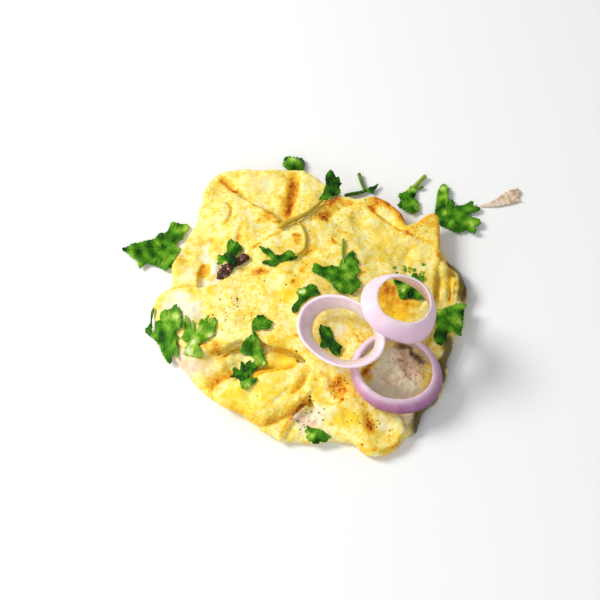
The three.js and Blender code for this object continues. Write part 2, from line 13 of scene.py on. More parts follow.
import bpy
import numpy as np
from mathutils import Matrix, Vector


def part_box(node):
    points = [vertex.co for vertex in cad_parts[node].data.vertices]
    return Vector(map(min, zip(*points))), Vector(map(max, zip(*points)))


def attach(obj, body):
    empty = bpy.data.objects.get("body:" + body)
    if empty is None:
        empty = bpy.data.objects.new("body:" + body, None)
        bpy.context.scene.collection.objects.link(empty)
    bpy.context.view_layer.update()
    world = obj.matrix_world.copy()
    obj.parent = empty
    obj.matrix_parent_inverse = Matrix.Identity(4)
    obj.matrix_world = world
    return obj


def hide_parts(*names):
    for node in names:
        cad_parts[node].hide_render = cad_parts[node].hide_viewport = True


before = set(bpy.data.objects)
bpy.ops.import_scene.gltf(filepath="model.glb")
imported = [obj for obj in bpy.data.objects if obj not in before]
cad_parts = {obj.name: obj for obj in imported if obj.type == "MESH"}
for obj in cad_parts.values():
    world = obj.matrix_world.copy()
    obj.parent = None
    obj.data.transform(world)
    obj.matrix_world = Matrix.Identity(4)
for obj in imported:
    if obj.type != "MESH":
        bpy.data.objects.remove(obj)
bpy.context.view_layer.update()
print("solids in the frame:", len(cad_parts))

# %% [markdown]
# ## The camera
#
# The camera looks down at the food from 60 degrees above the table, from 600 mm away. Its lens is
# given by how much of the table one pixel shows at that distance. Elevation 60 degrees means that
# the camera is turned up by 30 degrees from looking straight down.

# %% Camera
MM = 0.001  # shapes are worked out in millimetres, and meshes are in metres
FRAME_PIXELS = 600
SENSOR_WIDTH = 36.0
MM_PER_PIXEL = 0.54
CAMERA_DISTANCE = 600.0
CAMERA_ELEVATION = math.radians(60)
CAMERA_TARGET = np.array([-5.0, 9.5, 8.0])


def add_to_scene(name, data):
    """A new object with this mesh, camera or light, in the scene."""
    made = bpy.data.objects.new(name, data)
    bpy.context.scene.collection.objects.link(made)
    return made


towards_camera = np.array([0, -math.cos(CAMERA_ELEVATION), math.sin(CAMERA_ELEVATION)])
camera = add_to_scene("camera", bpy.data.cameras.new("camera"))
camera.location = (CAMERA_TARGET + CAMERA_DISTANCE * towards_camera) * MM
camera.rotation_euler = (math.pi / 2 - CAMERA_ELEVATION, 0, 0)
camera.data.sensor_width = SENSOR_WIDTH
camera.data.lens = SENSOR_WIDTH * CAMERA_DISTANCE / (FRAME_PIXELS * MM_PER_PIXEL)
camera.data.clip_start, camera.data.clip_end = 0.01, 20
bpy.context.scene.camera = camera
print("lens, mm:", round(camera.data.lens, 1))

# %% [markdown]
# ## Curves
#
# The edge of a sheet of egg and the route of a fold are smooth curves through a few given points. A
# Catmull-Rom curve goes through its points, so that moving one point moves only the stretch round
# it. The curve is then cut into equal steps.

# %% Curves through points
STEPS_BETWEEN_POINTS = 16


def even_steps(points, count):
    """The same line with `count` points at equal distances along it."""
    points = np.asarray(points, float)
    lengths = np.linalg.norm(np.diff(points, axis=0), axis=1)
    along = np.concatenate([[0], np.cumsum(lengths)])
    wanted = np.linspace(0, along[-1], count)
    return np.stack([np.interp(wanted, along, column) for column in points.T], axis=1)


def catmull_rom(a, b, c, d):
    """The curve from b to c, as a cubic whose slope at each end is half the way between the two
    neighbours of that end."""
    t = np.linspace(0, 1, STEPS_BETWEEN_POINTS, endpoint=False)[:, None]
    cubic = (c - a) + t * ((2 * a - 5 * b + 4 * c - d) + t * (3 * (b - c) + d - a))
    return b + 0.5 * t * cubic


def closed_curve(points, count):
    """`count` points round a smooth loop through the points given."""
    p = np.asarray(points, float)
    a, b, c, d = (np.roll(p, shift, axis=0)[:, None] for shift in (1, 0, -1, -2))
    dense = catmull_rom(a, b, c, d).reshape(-1, p.shape[1])
    return even_steps(np.vstack([dense, dense[:1]]), count + 1)[:-1]


def open_curve(points, count):
    """`count` points along a smooth line through the points given."""
    p = np.asarray(points, float)
    p = np.vstack([2 * p[0] - p[1], p, 2 * p[-1] - p[-2]])
    a, b, c, d = (p[i : len(p) - 3 + i][:, None] for i in range(4))
    dense = catmull_rom(a, b, c, d).reshape(-1, p.shape[1])
    return even_steps(np.vstack([dense, p[-2:-1]]), count)

# %% [markdown]
# ## Ripples
#
# Soft food has no straight line and no even face. A sum of many flat waves that run every way, all
# of about the same length, gives a smooth random height with humps of one size. The directions come
# from a seeded draw, so each run gives the same omelette.

# %% Random ripples of one wavelength
RIPPLE_WAVES = 36


def ripples(points, wavelength, seed):
    """The sum of many cosine waves with random directions and phases, scaled so that its heights
    spread about 0 by about 1."""
    draw = np.random.default_rng(seed)
    points = np.asarray(points, float)
    directions = draw.normal(size=(RIPPLE_WAVES, points.shape[-1]))
    directions /= np.linalg.norm(directions, axis=1)[:, None]
    lengths = wavelength * draw.uniform(0.75, 1.35, RIPPLE_WAVES)
    phases = draw.uniform(0, 2 * np.pi, RIPPLE_WAVES)
    total = np.zeros(points.shape[:-1])
    for direction, length, phase in zip(directions, lengths, phases):
        total += np.cos(points @ direction * (2 * np.pi / length) + phase)
    return total * math.sqrt(2 / RIPPLE_WAVES)


sample = ripples(np.linspace(0, 500, 2000)[:, None], 7, seed=0)
print("spread of the ripples:", round(float(sample.std()), 2))

# %% [markdown]
# ## Grids of points and meshes
#
# A surface is an array of points with rows and columns. Each cell of the array becomes a face with
# four corners. An array that goes round closes on itself, and where it runs into a point, that end
# gets a pole: one vertex, with a fan of triangles.

# %% Faces of a grid
def grid_faces(rows, columns, round_rows=False, round_columns=False):
    """The corners of every cell of a grid of points that are numbered row by row."""
    i = np.arange(rows if round_rows else rows - 1)[:, None]
    j = np.arange(columns if round_columns else columns - 1)[None]
    here, below = i * columns, (i + 1) % rows * columns
    right = (j + 1) % columns
    return np.stack([here + j, here + right, below + right, below + j], axis=-1).reshape(-1, 4)

# %% Skins, which are vertices with their faces
def closed_skin(grid, first_pole, last_pole):
    """Vertices and faces of a skin whose rows go round, closed by a pole at both ends. The rows run
    counterclockwise, seen from outside the first pole, so that every face points outwards."""
    rows, columns = grid.shape[:2]
    vertices = np.vstack([grid.reshape(-1, 3), [first_pole], [last_pole]])
    around = np.arange(columns)
    following = np.roll(around, -1)
    first, last = rows * columns, rows * columns + 1
    start = (rows - 1) * columns
    fans = np.vstack(
        [
            np.stack([np.full(columns, first), around, following], axis=1),
            np.stack([np.full(columns, last), start + following, start + around], axis=1),
        ]
    )
    quads = grid_faces(rows, columns, round_columns=True)[:, ::-1]
    return vertices, quads.tolist() + fans.tolist()


def merged(skins):
    """The vertices of several skins in one array, and their faces, numbered to match."""
    starts = np.cumsum([0] + [len(vertices) for vertices, _ in skins])
    faces = [
        [corner + start for corner in face]
        for start, (_, skin_faces) in zip(starts, skins)
        for face in skin_faces
    ]
    return np.vstack([vertices for vertices, _ in skins]), faces

# %% Meshes from skins
def shade_smooth(mesh):
    mesh.polygons.foreach_set("use_smooth", np.ones(len(mesh.polygons), bool))


def make_mesh(name, vertices, faces):
    """A smooth-shaded Blender object from vertices in millimetres."""
    mesh = bpy.data.meshes.new(name)
    mesh.from_pydata((np.asarray(vertices) * MM).tolist(), [], faces)
    mesh.validate()
    shade_smooth(mesh)
    return add_to_scene(name, mesh)


def put_attribute(thing, name, values):
    """Keeps one number for each vertex, for a material to read."""
    layer = thing.data.attributes.new(name, "FLOAT", "POINT")
    layer.data.foreach_set("value", np.asarray(values, np.float32))

# %% [markdown]
# ## The sheets of egg
#
# A folded omelette is a few overlapping sheets. Each sheet is given by its outline, with the height
# of its upper face at every point, and by the height at its middle. In between, the face takes a
# mean of those heights, in which nearer points count for more. The rim is a half round, and under
# it the sheet draws back towards the table, so that a folded edge keeps the dark line below it.

# %% The outlines of the sheets, x, y and height in millimetres
SHEET = 4.6  # thickness of the cooked egg at the edge of a fold, unless a sheet gives its own

SHEETS = []


def sheet(name, **shape):
    """Adds a sheet to the omelette, which is as thick as any other where nothing else is given."""
    SHEETS.append({"name": name, "thick": SHEET, **shape})


sheet(
    "base", middle=(2, 4, 11), around=360, thick=20,
    outline=[
        (-53, -45.5, 6.4), (-65, -32, 7), (-73.5, -20, 7.4), (-79.5, -4, 7.6), (-79.5, 9, 8),
        (-72, 22, 7.6), (-66, 48, 7.2), (-59.5, 67, 7.4), (-54, 84, 8), (-44, 91.5, 8), (-26, 92, 8),
        (-6, 90.5, 8), (9, 81, 8), (22, 72, 8), (36, 71.5, 8), (47, 60, 8), (55, 50, 7.6), (65, 51, 7.4),
        (72, 46, 7.4), (77, 36, 8.6), (84, 27, 9), (86, 16.5, 8.6), (83.5, 6, 8), (79.5, -2, 7.6),
        (76.5, -14, 7.6), (73.5, -26, 7.6), (70, -40, 7.4), (65, -50, 7), (57.5, -56, 6.6),
        (54.5, -66, 5.6), (47, -68.5, 5.4), (36, -71, 5.6), (24, -71.5, 5.8), (11, -70.5, 6),
        (-2.5, -71.5, 5.6), (-13, -70, 5.4), (-25, -62.5, 5.4), (-37, -54.5, 5.6),
    ],
)
sheet(
    "rear", middle=(-26, 52, 13), around=280,
    outline=[
        (-75, 18, 10.6), (-74.5, 31, 10.4), (-69.5, 44, 10.4), (-63.5, 60, 10.8), (-60, 76, 11),
        (-57.5, 87, 11.2), (-53, 92.7, 11), (-42.5, 95.2, 11.4), (-27, 94.6, 11.6), (-8, 94.8, 12.4),
        (2, 90.5, 11.6), (9, 85.5, 11.4), (20, 75.5, 11.4), (24, 54, 12.6), (10, 30, 13), (-10, 12, 13),
        (-34, 4, 12.4), (-56, 3, 11.4), (-71, 9, 10.6),
    ],
)
sheet(
    "flap", middle=(-33, 52, 17), around=160,
    outline=[
        (-56, 44, 11.6), (-58, 58, 11.4), (-53, 70.5, 12.6), (-43, 74.5, 14), (-34.5, 70.8, 15.6),
        (-27, 66.4, 16.8), (-20.5, 63, 17.2), (-15.6, 57, 17), (-17, 46, 16), (-26, 36, 15),
        (-36, 29, 14), (-45, 25, 12.4), (-52, 33, 11.8),
    ],
)
sheet(
    "pillow", middle=(-62, 3, 14), around=140, thick=9,
    outline=[
        (-84, 5, 10.6), (-82.8, 11, 11.4), (-77.5, 15.2, 12.4), (-64, 15.8, 13.4), (-50, 15.6, 14.4),
        (-40, 8, 14), (-44, -8, 12.6), (-56, -16, 11.6), (-70, -17, 9.6), (-79.5, -9, 9.4),
        (-83.4, -1, 9.8),
    ],
)
sheet(
    "centre", middle=(-2, 16, 19.5), around=400,
    outline=[
        (-76, 3, 10.6), (-68, 12, 12.6), (-50.5, 15, 15.6), (-43.5, 24, 16.4), (-37.5, 35, 17.6),
        (-26, 42.5, 18.4), (-15, 50, 18.8), (-4.5, 56.5, 18.6), (8, 69, 16.4), (20.5, 75, 13.6),
        (28, 73, 13.4), (36, 75.2, 13.6), (44, 72.4, 13), (51, 64.5, 12.4), (55, 54.5, 12.4),
        (61.5, 58.4, 13.4), (68.2, 62.8, 15), (72.8, 61, 14.2), (72.6, 47, 12.6), (72.4, 36, 12),
        (70, 24, 12.6), (66.5, 8, 12.8), (62, -10, 12.4), (53, -22, 12), (43, -29, 12.6), (31, -36, 14),
        (20, -42, 14.4), (9, -44, 15), (2, -37, 16), (-3.5, -29, 17.4), (-13, -23.6, 17.6),
        (-25, -20.6, 17), (-36, -18.6, 16.4), (-46, -22.5, 15), (-57, -24, 13.4), (-68, -19, 11),
        (-76, -8, 10),
    ],
)
sheet(
    "front left", middle=(-18, -46, 14.6), around=180,
    outline=[
        (-47.4, -50.5, 7), (-46, -46, 8), (-43.5, -42, 9.6), (-38, -39, 11.8), (-30.5, -36.6, 13.4),
        (-21, -34.6, 14.8), (-12, -32.8, 16), (-4, -31, 17), (3, -36.6, 17), (3, -45.4, 15.4),
        (-1.6, -51, 13.6), (-10, -56, 10.8), (-19, -60.8, 8.2), (-26.6, -63.6, 6.4), (-36, -57, 6.6),
    ],
)
sheet(
    "front", middle=(22, -52, 14), around=180,
    outline=[
        (11, -63, 8.4), (4, -57, 10.4), (0.4, -51, 13), (-0.6, -41, 16), (5, -31, 17), (18, -30, 16.4),
        (32, -35, 14.6), (42, -45, 11.4), (45, -55, 9.4), (48, -62, 8), (48.6, -67, 7.2),
        (46, -71.5, 6.8), (41, -75.5, 6.6), (33, -78, 6.4), (25.5, -76, 6.6), (20.5, -72, 6.8),
        (15.5, -67.4, 7.4),
    ],
)
sheet(
    "wedge", middle=(-13, -60.5, 8), around=110,
    outline=[
        (-20, -60, 6.8), (-12.5, -55, 9.6), (-4, -50, 11.4), (0, -52, 11), (-3.6, -56.5, 9.4),
        (-8, -61.5, 7.6), (-11, -66.5, 6), (-13.6, -70.8, 5), (-19.5, -68.2, 5), (-26, -64.4, 5.2),
    ],
)
print("sheets:", ", ".join(shape["name"] for shape in SHEETS))

# %% A sheet as a skin of rings between its middle and its rim
FACE_RINGS = 14  # rings on the upper face
RIM_ANGLES = np.radians(np.linspace(90, -90, 9))
MIDDLE_WEIGHT = 6  # how much the middle counts against one point of the outline
SOFTEN = 64  # square of the distance below which all points count alike
DRAWN_BACK, DRAWN_DOWN = 7, 5  # how far the foot of a sheet lies behind and below its rim, mm


def face_height(shape, x, y):
    """The mean of the heights given, each weighted by its squared distance plus SOFTEN to the
    power of -1.5, with two low swells that cross."""
    total = weighted = 0
    weights = [MIDDLE_WEIGHT] + [1] * len(shape["outline"])
    for weight, (px, py, pz) in zip(weights, [shape["middle"], *shape["outline"]]):
        share = weight * ((x - px) ** 2 + (y - py) ** 2 + SOFTEN) ** -1.5
        total = total + share
        weighted = weighted + share * pz
    crossing = 0.5 * np.sin(x / 9 + 1.3) * np.cos(y / 10 - 0.4)
    diagonal = 0.4 * np.sin((x + y) / 8 + 0.7)
    return weighted / total + crossing + diagonal


def egg_sheet(shape):
    """Rings of points: across the face from the middle to the rim, half round over the rim with
    half the sheet's thickness as radius, then in below it and down towards the table."""
    middle = np.array(shape["middle"][:2], float)
    edge = closed_curve(shape["outline"], shape["around"])[::-1, :2]
    reach = np.linalg.norm(edge - middle, axis=1)
    spoke = (edge - middle) / reach[:, None]
    crest = face_height(shape, *edge.T)
    radius = np.minimum(shape["thick"], crest) / 2
    inner = reach - radius
    rings = []
    for k in range(1, FACE_RINGS):
        share = k / FACE_RINGS
        r = share * (reach.mean() + (inner - reach.mean()) * math.sqrt(share))
        place = middle + spoke * r[:, None]
        rings.append(np.column_stack([place, face_height(shape, *place.T)]))
    for angle in RIM_ANGLES:
        place = middle + spoke * (inner + radius * math.cos(angle))[:, None]
        rings.append(np.column_stack([place, crest - radius + radius * math.sin(angle)]))
    foot = middle + spoke * np.maximum(inner - DRAWN_BACK, inner / 2)[:, None]
    rings.append(np.column_stack([foot, np.maximum(0, crest - 2 * radius - DRAWN_DOWN)]))
    floor = rings[-1][:, 2].min()
    pole = (*middle, float(face_height(shape, *middle)))
    return closed_skin(np.array(rings), pole, (*middle, floor))


sheet_skins = [egg_sheet(shape) for shape in SHEETS]
for shape, (vertices, _) in zip(SHEETS, sheet_skins):
    print(shape["name"], "sheet:", len(vertices), "points")

# %% [markdown]
# ## One skin from many
#
# The sheets overlap, and real egg has cooked together where it touches. A voxel remesh takes
# overlapping closed skins and returns one skin round all of them, with even little faces. Those
# faces are small enough to carry the fine relief that comes next.

# %% Join closed skins by a voxel remesh
def remeshed(name, skins, voxel, smoothing):
    """One closed skin round the skins given. `voxel` is the side of its faces in millimetres."""
    rough = make_mesh(name + "_rough", *merged(skins))
    remesh = rough.modifiers.new("remesh", "REMESH")
    remesh.mode = "VOXEL"
    remesh.voxel_size = voxel * MM
    smooth = rough.modifiers.new("smooth", "SMOOTH")
    smooth.factor, smooth.iterations = 0.5, smoothing
    graph = bpy.context.evaluated_depsgraph_get()
    mesh = bpy.data.meshes.new_from_object(rough.evaluated_get(graph))
    bpy.data.objects.remove(rough)
    mesh.name = name
    return add_to_scene(name, mesh)


def read_vectors(values, field):
    """One vector for each vertex, as an array with three columns."""
    flat = np.empty(len(values) * 3, np.float32)
    values.foreach_get(field, flat)
    return flat.reshape(-1, 3).astype(float)


def points_of(thing):
    """The vertices of an object in millimetres."""
    return read_vectors(thing.data.vertices, "co") / MM

# %% [markdown]
# ## What lies below
#
# A leaf or a ring needs to know how high the food under it is. A map of one millimetre cells keeps
# the highest point over each cell. A leaf is too stiff to sink into a dip, so it follows a blurred
# copy of the map, but never goes below the map itself.

# %% A map of heights
REST_GAP = 0.35  # between a piece and what it lies on, in millimetres


class HeightMap:
    """The highest surface over each cell of the table."""

    LOW = np.array([-115.0, -95.0])  # the corner of the first cell, in millimetres
    CELLS = (250, 215)
    CELL = 1.0
    BLUR = 3  # cells to each side
    OVER_BLUR = 0.3  # what a gap over the blurred map gets on top, in millimetres

    def __init__(self):
        self.top = np.zeros(self.CELLS)
        self.wide = self.top

    def add(self, points):
        """Raises the map to these points."""
        cell = np.rint((points[:, :2] - self.LOW) / self.CELL).astype(int)
        cell = np.clip(cell, 0, np.array(self.CELLS) - 1)
        np.maximum.at(self.top, (cell[:, 0], cell[:, 1]), points[:, 2])
        self.wide = self.blurred(self.top, self.BLUR)

    @staticmethod
    def blurred(values, reach):
        """The mean over a square of cells, first along x and then along y."""
        for axis in (0, 1):
            shifted = [np.roll(values, k, axis=axis) for k in range(-reach, reach + 1)]
            values = sum(shifted) / len(shifted)
        return values

    def read(self, values, x, y):
        """The value at each place, in proportion between the four nearest cells."""
        fx = np.clip((x - self.LOW[0]) / self.CELL, 0, self.CELLS[0] - 1.001)
        fy = np.clip((y - self.LOW[1]) / self.CELL, 0, self.CELLS[1] - 1.001)
        i, j = fx.astype(int), fy.astype(int)
        u, v = fx - i, fy - j
        near = values[i, j] * (1 - v) + values[i, j + 1] * v
        far = values[i + 1, j] * (1 - v) + values[i + 1, j + 1] * v
        return near * (1 - u) + far * u

    def surface(self, x, y):
        """The height of whatever lies uppermost."""
        return self.read(self.top, np.asarray(x, float), np.asarray(y, float))

    def rest(self, x, y, gap=REST_GAP):
        """Where something stiff comes to lie: `gap` over the highest cell round its place, and a
        little more over the blurred map."""
        x, y = np.asarray(x, float), np.asarray(y, float)
        near = [self.surface(x + dx, y + dy) for dx in (-1, 0, 1) for dy in (-1, 0, 1)]
        over_wide = self.read(self.wide, x, y) + gap + self.OVER_BLUR
        return np.maximum(np.max(near, axis=0) + gap, over_wide)

# %% The map of the sheets alone
draft = remeshed("draft_egg", sheet_skins, voxel=1.0, smoothing=2)
heights = HeightMap()
heights.add(points_of(draft))
bpy.data.objects.remove(draft)
print("highest point of the sheets:", round(heights.top.max(), 1))

# %% [markdown]
# ## Folds that stand up
#
# Where the egg is pinched it makes rounded ridges. Each is a ball drawn out along a route, laid half
# sunk into the sheets, so that the remesh melts it into them.

# %% Ridges along routes: the route, half its width and how far it rises, in millimetres
RIDGES = [
    ([(-17, 92), (-17.5, 78), (-18, 64)], 5, 1.4),  # left bank of the back valley
    ([(-3.5, 90), (-4, 78), (-5, 66)], 4.5, 1.5),  # right bank of the back valley
    ([(-53, 82), (-46, 78), (-38, 72)], 3.4, 1.3),  # below the corner pleat
    ([(-47, 92), (-40, 86), (-31, 80)], 4, 1.0),  # above the corner pleat
    ([(-51.2, 41), (-51, 30), (-52, 17)], 3.4, 2.6),  # right lip of the mouth
    ([(-64, 20), (-63, 34), (-59, 48)], 4, 1.4),  # left lip of the mouth
    ([(-49, 66), (-48, 62), (-49.5, 57)], 3.6, 1.2),  # inside the curl
    ([(1, -42), (-5, -49), (-11, -54), (-21, -60)], 3.4, 1.5),  # front roll
    ([(-4, -55.5), (-9, -60.5), (-15.5, -69)], 1.9, 1.0),  # thin roll beside it
    ([(-62, -25), (-52, -27), (-42, -25), (-32, -23)], 6, 2.8),  # below the centre's front edge
    ([(-34, -24), (-20, -27), (-6, -31)], 5.5, 2.9),
    ([(-66, -23), (-56, -27.5), (-42, -30)], 7, 2.6),  # front left fold
    ([(-44, -44), (-33, -42), (-18, -40), (-4, -34)], 3.4, 1.0),  # crest of the yellow fold
    ([(72.5, 33), (73.5, 20), (72, 6)], 4.2, 3.0),  # first fold on the right
    ([(79.5, 29), (80.5, 18), (78.5, 7)], 3.4, 2.8),  # second fold on the right
    ([(44, 71), (52, 63), (55.5, 54)], 2.6, 1.0),  # rim of the back lobe
    ([(60, 55), (68, 60), (71.5, 61)], 2.4, 1.0),  # upper edge of the tip
    ([(22, -72), (30, -76), (40, -74), (47, -69)], 2.6, 0.9),  # rim of the front lobe
    ([(30, -44), (35, -55), (42, -66)], 3.6, 0.9),  # right of the toasted dip
    ([(18, -46), (22, -58), (23, -70)], 4.0, 1.0),  # left of the toasted dip
    ([(52, 45), (62, 36), (68, 24)], 4.5, 1.0),  # upper right, towards the folds
    ([(-80, 7), (-66, 11), (-50, 11)], 3.6, 0.9),  # top of the pillow
    ([(36, -28), (43, -33), (45, -43)], 8, 2.6),  # pale heap inside the front ring
    ([(38, -42), (46, -48), (54, -46)], 5, 2.0),
    ([(28, -31), (33, -35), (37, -41)], 4.5, 1.6),
    ([(50, -24), (56, -30), (58, -38)], 4.5, 2.2),
]

# %% A ridge as a ball along its route
RIDGE_STEPS, RIDGE_AROUND, RIDGE_HEIGHT = 27, 20, 3.0


def rings_across(line, middle, wide, high, around, below=1.0):
    """Upright rings across a route, with a half width and a half height for each step. A ring is
    the route's place plus cos times the half width to the right, plus sin times the half height
    upwards, of which the lower half keeps the share `below`."""
    run = np.gradient(line, axis=0)
    side = np.column_stack([run[:, 1], -run[:, 0]]) / np.linalg.norm(run, axis=1)[:, None]
    angle = np.linspace(0, 2 * np.pi, around, endpoint=False)[None]
    across = wide[:, None] * np.cos(angle)
    upwards = high[:, None] * np.sin(angle) * np.where(np.sin(angle) < 0, below, 1)
    x, y = (line[:, k, None] + side[:, k, None] * across for k in (0, 1))
    return np.stack([x, y, middle[:, None] + upwards], axis=-1)


def ridge_skin(route, width, rise):
    """A ball with its diameter laid along the route: at each step along it a ring, `width` wide on
    both sides and RIDGE_HEIGHT high, as large as the ball is thick there."""
    line = open_curve(route, RIDGE_STEPS)
    size = np.sqrt(1 - np.linspace(-1, 1, RIDGE_STEPS) ** 2)
    middle = heights.read(heights.wide, *line.T) + rise - RIDGE_HEIGHT
    grid = rings_across(line, middle, size * width, size * RIDGE_HEIGHT, RIDGE_AROUND)
    return closed_skin(grid[1:-1], (*line[0], middle[0]), (*line[-1], middle[-1]))


ridge_skins = [ridge_skin(*ridge) for ridge in RIDGES]
print("ridges:", len(ridge_skins))

# %% [markdown]
# ## The egg as one piece
#
# Sheets and ridges become one skin. Its fine relief is then a sum of strokes: along each route the
# surface rises or sinks by a bell curve of the distance from the route. A lip rises on one side
# and sinks on the other, as the edge of a thin layer does. A slope keeps one side alone, and a pit
# has a flat bottom.

# %% Distance from a route, and strokes along it
ROUTE_STEPS = 20
FADED_SHARE = 0.2  # of a route, at each end
LEFT_AT_ENDS = 0.25  # share of a stroke's strength
LIP_TURN, SLOPE_TURN = 0.8, 0.7  # how far across a route these change over, in millimetres


def beside(route, x, y):
    """For each place, its distance from the route, positive on the left of it and negative on the
    right, and how far along the route it is, from 0 to 1."""
    line = open_curve(route, ROUTE_STEPS)
    run = np.diff(line, axis=0)
    px, py = x[:, None] - line[:-1, 0], y[:, None] - line[:-1, 1]
    share = np.clip((px * run[:, 0] + py * run[:, 1]) / (run**2).sum(axis=1), 0, 1)
    dx, dy = px - share * run[:, 0], py - share * run[:, 1]
    nearest = (dx**2 + dy**2).argmin(axis=1)
    pick = (np.arange(len(x)), nearest)
    left = run[nearest, 0] * dy[pick] - run[nearest, 1] * dx[pick]
    distance = np.hypot(dx[pick], dy[pick]) * np.where(left < 0, -1, 1)
    return distance, (nearest + share[pick]) / len(run)


def stroke(values, x, y, route, width, amount, form="bell"):
    """Adds `amount` times a bell curve of the distance over `width`, which fades at both ends. A
    lip also changes its sign across the route, within about a millimetre. A slope keeps the left
    side alone. A pit has a flat bottom and steep walls."""
    low, high = np.min(route, axis=0) - 3 * width, np.max(route, axis=0) + 3 * width
    near = np.flatnonzero((x > low[0]) & (x < high[0]) & (y > low[1]) & (y < high[1]))
    if not len(near):
        return
    distance, along = beside(route, x[near], y[near])
    fade = np.clip(np.minimum(along, 1 - along) / FADED_SHARE, 0, 1)
    bell = np.exp(-(np.abs(distance / width) ** (6 if form == "pit" else 2)))
    bell = bell * (LEFT_AT_ENDS + (1 - LEFT_AT_ENDS) * fade * fade * (3 - 2 * fade))
    if form == "lip":
        bell = bell * np.tanh(distance / LIP_TURN)
    if form == "slope":
        bell = bell * (1 + np.tanh(distance / SLOPE_TURN)) / 2
    values[near] += amount * bell

# %% Relief by its form: the route, half its width and the rise in millimetres
BACK_VALLEY = [(-12, 54), (-10.5, 60), (-9, 66.5), (-7, 74), (-5.5, 82), (-4.5, 96)]
FOLD_VALLEY = [(-29, -39), (-22, -36.5), (-15.5, -36), (-10.5, -35.5), (-5.5, -32.5)]
FOLD_END = [(-50, -46), (-50, -43.5), (-48, -40.5), (-44.5, -38), (-37.5, -35.5)]
SHORT_CREASE = [(-10, -49.5), (-6.5, -47.5), (-3.5, -45), (-2, -42), (-0.5, -38)]

RELIEF = {
    "bell": [
        ([(-51, 90), (-45.5, 84), (-38.5, 77)], 2.2, -2.4),  # corner pleat
        ([(-48, 71), (-44, 67.5), (-43, 62), (-45, 56), (-49, 53.5)], 1.2, -1.6),  # the curl
        ([(-37.5, 53), (-38.5, 46), (-39, 40)], 1.4, -0.9),  # down the flap
        ([(-76, 5), (-62, 6.5), (-48, 6)], 2.6, -0.9),  # seam of the pillow
        ([(33, 68), (42.5, 59.5), (54, 50)], 1.5, -1.3),  # along the rear lobe
        ([(56, 49.5), (63, 45), (72, 42)], 1.5, -1.2),  # root of the tip
        ([(-4, -33), (8, -38), (13, -46)], 1.8, -0.9),  # below the left ring
        ([(28.5, -56), (29.5, -63), (30.5, -70)], 3.0, -0.8),  # toasted dip of the front lobe
        ([(76.5, 31), (77.2, 20), (75.5, 8)], 1.2, -1.2),  # between the right folds
        ([(-34, -50), (-28, -46), (-22, -45)], 1.6, -0.6),  # on the yellow fold
        ([(-20, -54), (-13, -49), (-9, -44)], 1.6, -0.7),  # beside the short crease
        ([(20, 68), (12, 60), (2, 57)], 2.2, -0.7),  # behind the long stalk
        ([(52, -22), (51, -29), (54, -37)], 1.8, -1.6),  # right of the pale heap
        ([(56, 41), (52, 30), (55, 20)], 2.2, -0.6),  # upper right
        ([(-70, 33), (-66, 45), (-62, 58)], 2.4, -0.6),  # along the left edge
        ([(-30, 74), (-24, 80), (-22, 90)], 3, -0.6),  # rear, left of the valley
    ],
    "lip": [
        ([(-38.5, 75.5), (-30, 66.5), (-24, 62.5), (-18, 58), (-15.5, 54)], 2.4, -0.7),  # flap, above
        ([(-25, -19.5), (-14.5, -22.5), (-5.5, -26.5), (1.5, -28)], 1.6, 0.32),  # wrinkle
        ([(-19, -23.5), (-10, -27), (-4, -31)], 1.4, 0.3),  # wrinkle below it
        ([(-47, -26), (-43, -23.5), (-40, -21.5), (-36, -19)], 1.5, 0.6),  # edge of the centre, left
        ([(-57, 48), (-52, 42), (-46, 36)], 1.8, -0.5),  # below the flap
        ([(10, 10), (20, 2), (24, -6)], 2.2, 0.4),
        ([(-60, 56), (-56, 66), (-54, 76)], 2.2, 0.4),  # rear, far left
        ([(60, 20), (62, 8), (58, -2)], 2.0, 0.5),  # right, under the ring
    ],
    "slope": [
        (BACK_VALLEY, 5.4, -1.9),
        (FOLD_VALLEY, 3.6, -1.3),
        (SHORT_CREASE, 2.6, -1.8),
        (FOLD_END, 3.2, -1.4),
        ([(-21.5, -64), (-16, -61.5), (-10.5, -59.5), (-5.5, -56), (-1, -51)], 2.6, -0.8),  # front roll
        ([(-15, -71.5), (-11.5, -63.5), (-8, -58.5), (-4.5, -55), (0, -52)], 1.5, -0.3),  # thin roll
    ],
    "pit": [
        ([(-57.4, 14), (-57.3, 21), (-57, 27.3)], 2.7, -2.8),  # the mouth
    ],
}
print("strokes of relief:", {form: len(marks) for form, marks in RELIEF.items()})

# %% The egg, with its relief
VOXEL = 0.78
PUCKERS = [(0.34, 13), (0.1, 6), (0.05, 3)]  # height and wavelength, in millimetres
CRUMBS = [(0.4, 4.2), (0.24, 2.2)]
CRUMBLY_PLACES = [(46, -38, 15, 4, 1.0), (1, -62, 8, 2, 0.6)]  # x, y, reach, steepness, strength
FLAT_FOOT = (0, 2.5)  # heights over which the puckers set in, in millimetres
UPWARD = (0.15, 0.65)  # upward part of the normal over which the relief sets in


def rippled(points, waves, seed):
    """The sum of ripples of several heights and wavelengths, each with a seed of its own."""
    parts = [rise * ripples(points, length, seed + k) for k, (rise, length) in enumerate(waves)]
    return sum(parts)


